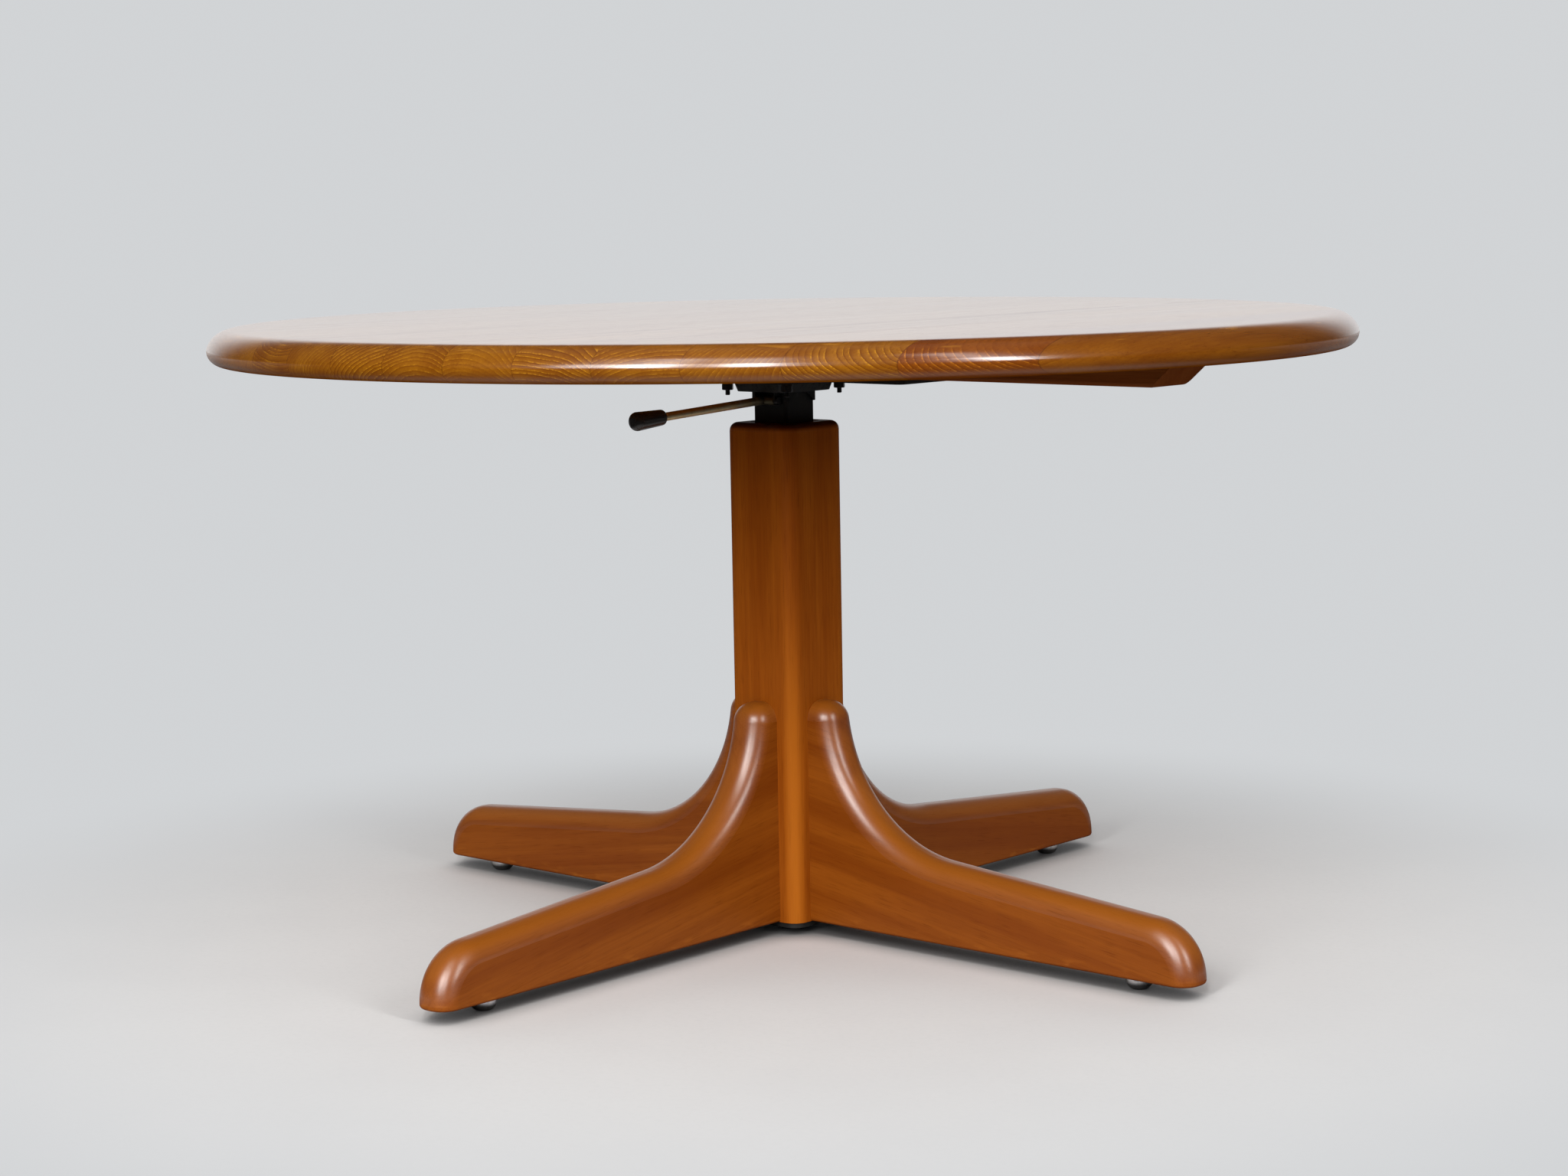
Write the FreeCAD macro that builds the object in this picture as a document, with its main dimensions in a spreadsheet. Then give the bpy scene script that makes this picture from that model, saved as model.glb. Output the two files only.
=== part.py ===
import FreeCAD, Part
import math
import os

import Sketcher

# A round pedestal table whose top rises and falls on a locking gas spring.
# Millimetres. The origin is on the floor under the column, +Z is up, the release lever points along -Y,
# the batten lies along X and the legs point along +X, +Y, -X and -Y. The table is drawn fully lowered.

SIZES = (
    # Table top
    ("top_diameter", 1100, "round top across"),
    ("top_thickness", 32, "thickness of the boards"),
    ("top_upper_round_width", 24, "how far the soft upper edge reaches in"),
    ("top_side_round", 10, "radius where the edge is widest"),
    ("top_lower_round", 13, "radius of the lower edge"),
    # Batten
    ("batten_inset", 72, "batten ends in from the top's edge"),
    ("batten_width", 56, "width across"),
    ("batten_thickness", 23, "thickness"),
    ("batten_bevel", 27, "how far each end slopes in"),
    ("batten_edge_round", 5, "rounding of the lower edges"),
    ("batten_screw_end", 70, "outer screws, from the batten's ends"),
    ("batten_screw_pitch", 150, "between outer and inner screws"),
    ("batten_screw_length", 36, "screw through the batten"),
    # Head plate
    ("head_plate_length", 370, "steel plate along the batten"),
    ("head_plate_thickness", 3.5, "steel"),
    ("head_plate_corner", 8, "corner radius"),
    ("plate_screw_end", 35, "screws, from the plate's ends"),
    ("plate_screw_aside", 15, "screws, from the batten's middle line"),
    ("plate_screw_length", 20, "screw into the batten"),
    # Wood screws
    ("screw_diameter", 4.5, "shank"),
    ("screw_head_diameter", 9, "countersunk head"),
    ("screw_head_height", 2.6, "countersunk head"),
    ("screw_point", 5, "length of the point"),
    # Lift pan
    ("pan_depth", 12.5, "from the head plate down to the pan's floor"),
    ("pan_mouth_width", 75, "square mouth under the flange"),
    ("pan_draft", 2.5, "how far each side leans in down to the floor"),
    ("pan_corner", 12, "corner radius of the pan"),
    ("pan_wall", 3.5, "sheet thickness"),
    ("pan_flange_corner", 6, "corner radius of the flange"),
    ("pan_service_hole", 26, "hole in the floor above the spring"),
    ("collar_wall", 2.2, "collar round the inner tube"),
    ("collar_depth", 10, "how far the collar reaches down"),
    ("collar_arch", 20, "radius of the arch in each collar side"),
    ("collar_land", 0.8, "collar left above the arch"),
    # Bolts of the pan
    ("bolt_gap", 0.25, "washer to pan, and bolt head to batten"),
    ("bolt_edge", 6.6, "flange and head plate beyond the bolts"),
    ("bolt_diameter", 5, "shank"),
    ("bolt_head_width", 10, "across flats of head and nut"),
    ("bolt_head_height", 4, "head"),
    ("nut_height", 6, "nut"),
    ("washer_diameter", 12, "washer"),
    ("washer_thickness", 1.6, "washer"),
    ("bolt_end", 5, "how far the bolt shows below its nut"),
    # Telescoping tubes
    ("inner_tube_width", 42, "square tube that carries the top"),
    ("inner_tube_wall", 2, "wall"),
    ("inner_tube_corner", 3, "outer corner radius"),
    ("inner_tube_overhang", 12, "tube below the spring's cylinder"),
    ("guide_gap", 2, "room for the bushes between the two tubes"),
    ("guide_tube_wall", 2, "wall"),
    ("guide_tube_corner", 3, "outer corner radius"),
    ("guide_tube_recess", 5, "its top below the column's top"),
    ("lowered_gap", 30, "inner tube that shows when the table is lowered"),
    ("lift_travel", 150, "how far the top rises"),
    ("upper_bush_length", 40, "bush in the guide tube's mouth"),
    ("upper_bush_flange", 3, "flange on the guide tube's end"),
    ("lower_bush_length", 30, "bush round the inner tube's end"),
    ("lower_bush_floor", 6, "floor under the inner tube's end"),
    # Gas spring
    ("cylinder_diameter", 28, "outside"),
    ("cylinder_wall", 1.5, "wall and rolled ends"),
    ("cylinder_length", 290, "length"),
    ("cylinder_mouth", 18, "opening in each rolled end"),
    ("rod_diameter", 10, "piston rod"),
    ("rod_tail", 4, "rod below the lower nut"),
    ("piston_height", 15, "piston"),
    ("piston_rest", 1, "room between piston and seal when raised"),
    ("rod_guide_height", 16, "guide in the cylinder's lower end"),
    ("rod_seal_height", 5, "rubber seal on the guide"),
    ("valve_height", 18, "valve block in the cylinder's upper end"),
    ("valve_neck_diameter", 14, "threaded neck"),
    ("valve_neck_length", 14, "neck above the cylinder"),
    ("valve_nut_width", 22, "across flats"),
    ("valve_nut_height", 7, "nut on the neck"),
    ("release_pin_diameter", 6, "valve pin"),
    ("release_pin_sunk", 26, "pin below the neck's top"),
    ("release_pin_round", 1, "rounded pin ends"),
    ("bridge_depth", 30, "bridge plate below the tube's top"),
    ("bridge_thickness", 5, "bridge plate"),
    ("bridge_corner", 2.5, "corner radius of bridge plate and seat"),
    ("seat_thickness", 8, "spring seat in the guide tube"),
    ("seat_gap", 6, "seat to lower bush when lowered"),
    ("rod_nut_width", 17, "across flats"),
    ("rod_nut_height", 8, "nut"),
    # Release lever
    ("lever_diameter", 8, "steel rod"),
    ("lever_droop", 3, "slope of the rod at rest, degrees"),
    ("lever_reach", 175.6, "rod outside the pivot"),
    ("lever_finger", 5, "rod past the pin's middle"),
    ("lever_pivot_drop", 8, "pivot below the tube's top"),
    ("lever_sleeve_diameter", 9, "pivot sleeve welded to the rod"),
    ("lever_sleeve_gap", 0.6, "sleeve to the bracket's web"),
    ("lever_pin_diameter", 5, "pivot pin"),
    ("lever_pin_head_diameter", 8.5, "rivet head"),
    ("lever_pin_head", 1.6, "rivet head"),
    ("lever_pin_tail", 2.6, "pin past the bracket"),
    ("lever_gap", 0.3, "finger above the release pin"),
    ("slot_gap", 0.7, "beside and above the rod in tube and bracket"),
    ("slot_foot", 1.6, "below the rod in the tube's slot"),
    ("grip_diameter", 17.8, "outer end"),
    ("grip_neck_diameter", 15, "inner end"),
    ("grip_length", 40.7, "length"),
    ("grip_end", 7, "solid end past the rod"),
    ("grip_round", 6.5, "rounded outer end"),
    ("grip_neck_round", 3, "rounded inner end"),
    ("bracket_left", 10.5, "left ear's outer side from the rod's middle"),
    ("bracket_right", 17, "right ear's outer side from the rod's middle"),
    ("bracket_sheet", 2, "sheet thickness"),
    ("bracket_ear", 4, "ears around the pivot, outwards and down"),
    ("bracket_round", 3, "rounded lower corner of the ears"),
    ("clip_diameter", 9, "retaining ring outside"),
    ("clip_groove", 4, "groove in the pin"),
    ("clip_mouth", 3.2, "opening of the retaining ring"),
    ("clip_thickness", 0.9, "retaining ring"),
    # Column
    ("column_width", 84, "square column"),
    ("column_height", 487, "height"),
    ("column_corner", 15, "rounded corners"),
    ("column_top_round", 8, "rounded upper edge"),
    ("base_plate_margin", 2, "steel plate in from the column's sides"),
    ("base_plate_thickness", 5, "steel"),
    ("base_plate_hole", 32, "hole for reaching the rod nut"),
    ("base_screw_inset", 9, "screws in from the column's sides"),
    ("base_screw_length", 40, "screw into the column"),
    # Legs
    ("leg_reach", 485, "tip from the column's axis"),
    ("leg_thickness", 42, "thickness"),
    ("leg_height", 217, "height at the column"),
    ("leg_slope", 4.9, "slope of the upper side, degrees"),
    ("leg_nose_radius", 52, "round nose"),
    ("leg_nose_land", 4.5, "upright part under the nose"),
    ("leg_sweep_radius", 145, "hollow sweep up to the column"),
    ("leg_dome_radius", 20, "round head at the column"),
    ("leg_dome_setback", 7.5, "flat of the head beside the column"),
    ("leg_crest", 5, "flat left along the back between its rounded edges"),
    ("leg_sole_round", 3, "rounding of the lower edges"),
    ("dowel_diameter", 12, "dowels between leg and column"),
    ("dowel_in_leg", 24, "depth in the leg"),
    ("dowel_stop", 4.7, "wood left between dowel and guide tube"),
    ("dowel_low", 45, "lower dowel above the sole"),
    ("dowel_drop", 58, "upper dowel below the leg's head"),
    # Glides
    ("glide_height", 12, "floor to leg"),
    ("glide_diameter", 25, "glide"),
    ("glide_inset", 67, "in from the leg's tip"),
    ("glide_face_diameter", 13, "flat that stands on the floor"),
    ("glide_rim", 3, "straight rim against the leg"),
    ("glide_nail_diameter", 4, "nail"),
    ("glide_nail_length", 20, "nail in the leg"),
    # Clearances
    ("fit_clearance", 0.05, "around pieces that are fixed in each other"),
    ("slide_clearance", 0.2, "around the sliding tube and bush"),
    ("running_clearance", 0.05, "around rods, pins and the piston"),
    ("bore_clearance", 0.3, "around the guide tube in the column"),
    ("hole_clearance", 0.3, "around bolts in their holes"),
)

doc = FreeCAD.newDocument("PedestalTable")
sheet = doc.addObject("Spreadsheet::Sheet", "Sizes")
for row, (alias, value, meaning) in enumerate(SIZES, start=1):
    sheet.set(f"A{row}", alias)
    sheet.set(f"B{row}", str(value))
    sheet.setAlias(f"B{row}", alias)
    sheet.set(f"C{row}", meaning)
doc.recompute()

# Heights above the floor, with the table lowered
COLUMN_TOP = "(Sizes.glide_height + Sizes.column_height)"
TUBE_TOP = f"({COLUMN_TOP} + Sizes.lowered_gap)"
PLATE_UNDERSIDE = f"({TUBE_TOP} + Sizes.pan_depth)"
BATTEN_UNDERSIDE = f"({PLATE_UNDERSIDE} + Sizes.head_plate_thickness)"
TOP_UNDERSIDE = f"({BATTEN_UNDERSIDE} + Sizes.batten_thickness)"
FLANGE_UNDERSIDE = f"({PLATE_UNDERSIDE} - Sizes.pan_wall)"
GUIDE_TOP = f"({COLUMN_TOP} - Sizes.guide_tube_recess)"
BRIDGE_TOP = f"({TUBE_TOP} - Sizes.bridge_depth)"
CYLINDER_TOP = f"({BRIDGE_TOP} - Sizes.bridge_thickness)"
CYLINDER_FOOT = f"({CYLINDER_TOP} - Sizes.cylinder_length)"
TUBE_FOOT = f"({CYLINDER_FOOT} - Sizes.inner_tube_overhang)"
LOWER_BUSH_FOOT = f"({TUBE_FOOT} - Sizes.lower_bush_floor)"
SEAT_TOP = f"({LOWER_BUSH_FOOT} - Sizes.seat_gap)"
SEAT_UNDERSIDE = f"({SEAT_TOP} - Sizes.seat_thickness)"
GUIDE_FOOT = f"({CYLINDER_FOOT} + Sizes.cylinder_wall)"
SEAL_FOOT = f"({GUIDE_FOOT} + Sizes.rod_guide_height)"
SEAL_TOP = f"({SEAL_FOOT} + Sizes.rod_seal_height)"
PISTON_FOOT = f"({SEAL_TOP} + Sizes.lift_travel + Sizes.piston_rest)"
PIVOT_HEIGHT = f"({TUBE_TOP} - Sizes.lever_pivot_drop)"
BASE_PLATE_FOOT = "(Sizes.glide_height - Sizes.base_plate_thickness)"

# Widths and places that several pieces share
BATTEN_HALF = "(Sizes.top_diameter / 2 - Sizes.batten_inset)"
GUIDE_BORE = "(Sizes.inner_tube_width + 2 * Sizes.guide_gap)"
GUIDE_WIDTH = f"({GUIDE_BORE} + 2 * Sizes.guide_tube_wall)"
TUBE_BORE = "(Sizes.inner_tube_width - 2 * Sizes.inner_tube_wall)"
CYLINDER_BORE = "(Sizes.cylinder_diameter - 2 * Sizes.cylinder_wall)"
COLUMN_FACE = "(Sizes.column_width / 2)"
TUBE_FACE = "(Sizes.inner_tube_width / 2)"
BASE_SCREW_OFFSET = f"({COLUMN_FACE} - Sizes.base_screw_inset)"
PIVOT_OUT = (
    f"({TUBE_FACE} + Sizes.bracket_sheet + Sizes.lever_sleeve_gap + Sizes.lever_sleeve_diameter / 2)"
)
SLOT_HALF = "(Sizes.lever_diameter / 2 + Sizes.slot_gap)"
BRACKET_HEIGHT = "(Sizes.lever_pivot_drop + Sizes.bracket_ear)"
DOWEL_IN_COLUMN = f"({COLUMN_FACE} - {GUIDE_WIDTH} / 2 - Sizes.bore_clearance - Sizes.dowel_stop)"
LEG_EDGE_ROUND = "((Sizes.leg_thickness - Sizes.leg_crest) / 2)"
GLIDE_OUT = "(Sizes.leg_reach - Sizes.glide_inset)"

# The bolts stand beyond the pan's rounded corners, and their heads beside the batten
CORNER_RUN = "((Sizes.pan_corner + Sizes.washer_diameter / 2 + Sizes.bolt_gap) / sqrt(2))"
BOLT_BY_PAN = f"(Sizes.pan_mouth_width / 2 - Sizes.pan_corner + {CORNER_RUN})"
BOLT_BY_BATTEN = "(Sizes.batten_width / 2 + Sizes.bolt_head_width / 2 + Sizes.bolt_gap)"
BOLT_OFFSET = f"max({BOLT_BY_PAN}; {BOLT_BY_BATTEN})"
FLANGE_WIDTH = f"(2 * ({BOLT_OFFSET} + Sizes.bolt_edge))"

# Two lengths closer than this are the same when edges are looked up
TOLERANCE = 0.001


def number(expression):
    """The value that an expression has with the sheet's sizes."""
    return float(sheet.evalExpression(expression))


def new_body(label, height="0"):
    """A body for one sub-part, whose own zero height lies at the given height above the floor."""
    body = doc.addObject("PartDesign::Body", label)
    body.Label = label
    if height != "0":
        body.setExpression("Placement.Base.z", height)
    return body


def origin_feature(body, role):
    return next(feature for feature in body.Origin.OriginFeatures if feature.Role == role)


def new_sketch(body, name, role, x="0", y="0", z="0"):
    """A sketch on one of the body's origin planes, moved by x and y in the plane and z along its normal."""
    sketch = body.newObject("Sketcher::SketchObject", f"{body.Name}_{name}")
    sketch.AttachmentSupport = [(origin_feature(body, role), "")]
    sketch.MapMode = "FlatFace"
    for axis, move in zip("xyz", (x, y, z)):
        if move != "0":
            sketch.setExpression(f"AttachmentOffset.Base.{axis}", move)
    return sketch


def bind(sketch, constraint, expression):
    """Add a constraint that holds a size and tie it to its expression."""
    index = sketch.addConstraint(constraint)
    sketch.setExpression(f"Constraints[{index}]", expression)


def fix_point(sketch, geometry, point, x, y):
    """Hold one point of a sketch at two coordinates given as expressions."""
    for kind, axis_line, expression in (("DistanceX", -2, x), ("DistanceY", -1, y)):
        if expression == "0":
            sketch.addConstraint(Sketcher.Constraint("PointOnObject", geometry, point, axis_line))
        else:
            distance = Sketcher.Constraint(kind, -1, 1, geometry, point, number(expression))
            bind(sketch, distance, expression)


def arc_between(start, end, radius, turn):
    """The arc shorter than a half circle from start to end; turn is 1 to the left and -1 to the right."""
    chord = end - start
    aside = math.sqrt(radius**2 - chord.Length**2 / 4)
    left = FreeCAD.Vector(-chord.y, chord.x, 0) / chord.Length
    centre = (start + end) / 2 + left * aside * turn
    first, last = (start, end) if turn > 0 else (end, start)
    first_angle = math.atan2(first.y - centre.y, first.x - centre.x)
    last_angle = math.atan2(last.y - centre.y, last.x - centre.x)
    circle_line = Part.Circle(centre, FreeCAD.Vector(0, 0, 1), radius)
    return Part.ArcOfCircle(circle_line, first_angle, last_angle)


def outline(sketch, corners):
    """A closed outline. A corner is (x, y), or (x, y, radius, turn) where an arc leads to the next corner."""
    points = [FreeCAD.Vector(number(corner[0]), number(corner[1]), 0) for corner in corners]
    ends = []
    for index, corner in enumerate(corners):
        start = points[index]
        end = points[(index + 1) % len(points)]
        if len(corner) == 2:
            geometry = sketch.addGeometry(Part.LineSegment(start, end), False)
            ends.append((geometry, 1, 2))
            continue
        radius, turn = corner[2:]
        geometry = sketch.addGeometry(arc_between(start, end, number(radius), turn), False)
        bind(sketch, Sketcher.Constraint("Radius", geometry, number(radius)), radius)
        ends.append((geometry, 1, 2) if turn > 0 else (geometry, 2, 1))
    for index, corner in enumerate(corners):
        geometry, start_point, end_point = ends[index]
        following, following_start, _ = ends[(index + 1) % len(ends)]
        sketch.addConstraint(
            Sketcher.Constraint("Coincident", geometry, end_point, following, following_start)
        )
        fix_point(sketch, geometry, start_point, corner[0], corner[1])


def circle(sketch, diameter, x="0", y="0"):
    centre = FreeCAD.Vector(number(x), number(y), 0)
    geometry = sketch.addGeometry(Part.Circle(centre, FreeCAD.Vector(0, 0, 1), number(diameter) / 2), False)
    bind(sketch, Sketcher.Constraint("Diameter", geometry, number(diameter)), diameter)
    fix_point(sketch, geometry, 3, x, y)


def rectangle(sketch, left, right, bottom, top):
    outline(sketch, [(left, bottom), (right, bottom), (right, top), (left, top)])


def rounded_square(sketch, width, corner, depth=None):
    """A rectangle about the sketch's origin with rounded corners, square unless a depth is given."""
    x, y = f"({width}) / 2", f"({depth or width}) / 2"
    x_in, y_in = f"({x} - {corner})", f"({y} - {corner})"
    outline(
        sketch,
        [
            (f"-{x_in}", f"-({y})"),
            (x_in, f"-({y})", corner, 1),
            (x, f"-{y_in}"),
            (x, y_in, corner, 1),
            (x_in, y),
            (f"-{x_in}", y, corner, 1),
            (f"-({x})", y_in),
            (f"-({x})", f"-{y_in}", corner, 1),
        ],
    )


def hexagon(sketch, across_flats, x="0", y="0"):
    """A hexagon with two flats along x, round a centre."""
    flat, point = f"({across_flats}) / 2", f"({across_flats}) / sqrt(3)"
    outline(
        sketch,
        [
            (f"{x} + {point}", y),
            (f"{x} + {point} / 2", f"{y} + {flat}"),
            (f"{x} - {point} / 2", f"{y} + {flat}"),
            (f"{x} - {point}", y),
            (f"{x} - {point} / 2", f"{y} - {flat}"),
            (f"{x} + {point} / 2", f"{y} - {flat}"),
        ],
    )


def pad(body, sketch, length, downward=False, centred=False):
    feature = body.newObject("PartDesign::Pad", f"{sketch.Name}_pad")
    feature.Profile = sketch
    feature.setExpression("Length", length)
    feature.Reversed = downward
    feature.Midplane = centred
    doc.recompute()
    return feature


def pocket(body, sketch, depth=None, along_normal=False, both_ways=False):
    """Cut a sketch into the body, right through where no depth is given, and check that it cut."""
    before = body.Shape.Volume
    feature = body.newObject("PartDesign::Pocket", f"{sketch.Name}_pocket")
    feature.Profile = sketch
    feature.Reversed = along_normal
    feature.Midplane = both_ways
    if depth is None:
        feature.Type = "ThroughAll"
    else:
        feature.setExpression("Length", depth)
    doc.recompute()
    check_cut(body, feature, before)
    return feature


def check_cut(body, feature, before):
    if body.Shape.Volume >= before:
        raise RuntimeError(f"{feature.Name} cuts nothing")


def turned(body, name, corners, x="0", y="0", axis="V_Axis", role="XZ_Plane"):
    """A turned solid: a half profile swung round the sketch's own axis, which stands at x and y."""
    sketch = new_sketch(body, name, role, x=x, z="0" if y == "0" else f"-({y})")
    outline(sketch, corners)
    feature = body.newObject("PartDesign::Revolution", f"{sketch.Name}_turn")
    feature.Profile = sketch
    feature.ReferenceAxis = (sketch, [axis])
    feature.Angle = 360
    doc.recompute()
    return feature


def bored(body, name, corners, x="0", y="0"):
    """A turned hole: a half profile swung round an upright axis at x and y and cut away."""
    before = body.Shape.Volume
    sketch = new_sketch(body, name, "XZ_Plane", x=x, z="0" if y == "0" else f"-({y})")
    outline(sketch, corners)
    feature = body.newObject("PartDesign::Groove", f"{sketch.Name}_bore")
    feature.Profile = sketch
    feature.ReferenceAxis = (sketch, ["V_Axis"])
    feature.Angle = 360
    doc.recompute()
    check_cut(body, feature, before)
    return feature


def around(body, features, count):
    """Repeat features round the body's upright axis."""
    pattern = body.newObject("PartDesign::PolarPattern", f"{features[0].Name}_around")
    pattern.Originals = features
    pattern.Axis = (origin_feature(body, "Z_Axis"), [""])
    pattern.Angle = 360
    pattern.Occurrences = count
    body.Tip = pattern
    doc.recompute()
    return pattern


def rounded(body, name, chosen, radius):
    """Round the edges of the body that a test chooses."""
    base = body.Tip
    names = [f"Edge{index}" for index, edge in enumerate(base.Shape.Edges, start=1) if chosen(edge)]
    feature = body.newObject("PartDesign::Fillet", f"{body.Name}_{name}")
    feature.Base = (base, names)
    feature.setExpression("Radius", radius)
    doc.recompute()
    return feature


def loft(body, kind, sketches):
    feature = body.newObject(f"PartDesign::{kind}", f"{sketches[0].Name}_loft")
    feature.Profile = sketches[0]
    feature.Sections = sketches[1:]
    feature.Ruled = True
    doc.recompute()
    return feature


def square_tube(label, foot, length, width, wall, corner):
    body = new_body(label, foot)
    sketch = new_sketch(body, "section", "XY_Plane")
    rounded_square(sketch, width, corner)
    rounded_square(sketch, f"({width} - 2 * {wall})", f"({corner} - {wall})")
    pad(body, sketch, length)
    return body


def ring(label, foot, height, outer, inner):
    body = new_body(label, foot)
    sketch = new_sketch(body, "section", "XY_Plane")
    circle(sketch, outer)
    circle(sketch, inner)
    pad(body, sketch, height)
    return body


def at_height(edge, height):
    box = edge.BoundBox
    return abs(box.ZMin - height) < TOLERANCE and abs(box.ZMax - height) < TOLERANCE


# Wood screws, with their heads down and flush

def screw_profile(length, head, room="0"):
    """Half of a countersunk screw from the height of its head, or of its hole where there is room."""
    head_radius = f"(Sizes.screw_head_diameter / 2 + {room})"
    shank_radius = f"(Sizes.screw_diameter / 2 + {room})"
    return [
        ("0", head),
        (head_radius, head),
        (shank_radius, f"({head} + Sizes.screw_head_height)"),
        (shank_radius, f"({head} + {length} - Sizes.screw_point)"),
        ("0", f"({head} + {length} + {room})"),
    ]


BATTEN_SCREW_OUT = f"({BATTEN_HALF} - Sizes.batten_screw_end)"
PLATE_SCREW_OUT = "(Sizes.head_plate_length / 2 - Sizes.plate_screw_end)"
BATTEN_SCREWS = ((BATTEN_SCREW_OUT, "0"), (f"({BATTEN_SCREW_OUT} - Sizes.batten_screw_pitch)", "0"))
PLATE_SCREWS = (
    (PLATE_SCREW_OUT, "Sizes.plate_screw_aside"),
    (PLATE_SCREW_OUT, "-Sizes.plate_screw_aside"),
)
BASE_SCREWS = ((BASE_SCREW_OFFSET, BASE_SCREW_OFFSET),)


def screws(label, height, places, length, count):
    body = new_body(label, height)
    made = []
    for index, (x, y) in enumerate(places):
        made.append(turned(body, f"screw_{index}", screw_profile(length, "0"), x, y))
    around(body, made, count)
    return body


def screw_holes(body, name, places, length, head, count):
    """Holes for screws whose heads lie at a height in the body's own frame."""
    profile = screw_profile(length, head, "Sizes.fit_clearance")
    made = [bored(body, f"{name}_{index}", profile, x, y) for index, (x, y) in enumerate(places)]
    around(body, made, count)


def make_table_top():
    body = new_body("table_top", TOP_UNDERSIDE)
    edge = "(Sizes.top_diameter / 2)"
    upper_height = "(Sizes.top_thickness - Sizes.top_lower_round)"
    reach_in = "Sizes.top_upper_round_width"
    side = "Sizes.top_side_round"
    squares = f"(({reach_in} - {side})^2 + {upper_height}^2 - {side}^2)"
    crown = f"({squares} / (2 * ({upper_height} - {side})))"
    share = f"({side} / ({crown} - {side}))"
    turned(
        body,
        "profile",
        [
            ("0", "0"),
            (f"({edge} - Sizes.top_lower_round)", "0", "Sizes.top_lower_round", 1),
            (edge, "Sizes.top_lower_round", side, 1),
            (
                f"({edge} - {side} + ({reach_in} - {side}) * {share})",
                f"(Sizes.top_lower_round + ({crown} - {upper_height}) * {share})",
                crown,
                1,
            ),
            (f"({edge} - {reach_in})", "Sizes.top_thickness"),
            ("0", "Sizes.top_thickness"),
        ],
    )
    screw_holes(body, "pilot", BATTEN_SCREWS, "Sizes.batten_screw_length", "-Sizes.batten_thickness", 2)


def make_batten():
    body = new_body("batten", BATTEN_UNDERSIDE)
    sketch = new_sketch(body, "side", "XZ_Plane")
    short_half = f"({BATTEN_HALF} - Sizes.batten_bevel)"
    outline(
        sketch,
        [
            (f"-{short_half}", "0"),
            (short_half, "0"),
            (BATTEN_HALF, "Sizes.batten_thickness"),
            (f"-{BATTEN_HALF}", "Sizes.batten_thickness"),
        ],
    )
    pad(body, sketch, "Sizes.batten_width", centred=True)
    rounded(body, "edges", lambda edge: at_height(edge, 0), "Sizes.batten_edge_round")
    screw_holes(body, "long", BATTEN_SCREWS, "Sizes.batten_screw_length", "0", 2)
    below = "-Sizes.head_plate_thickness"
    screw_holes(body, "short", PLATE_SCREWS, "Sizes.plate_screw_length", below, 2)


def make_head_plate():
    body = new_body("head_plate", PLATE_UNDERSIDE)
    sketch = new_sketch(body, "outline", "XY_Plane")
    rounded_square(sketch, "Sizes.head_plate_length", "Sizes.head_plate_corner", FLANGE_WIDTH)
    pad(body, sketch, "Sizes.head_plate_thickness")
    bolt_holes(body)
    screw_holes(body, "sunk", PLATE_SCREWS, "Sizes.plate_screw_length", "0", 2)


def bolt_holes(body):
    """The four bolt holes, right through head plate or flange."""
    sketch = new_sketch(body, "bolt_hole", "XY_Plane")
    circle(sketch, "(Sizes.bolt_diameter + 2 * Sizes.hole_clearance)", BOLT_OFFSET, BOLT_OFFSET)
    around(body, [pocket(body, sketch, both_ways=True)], 4)


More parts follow.
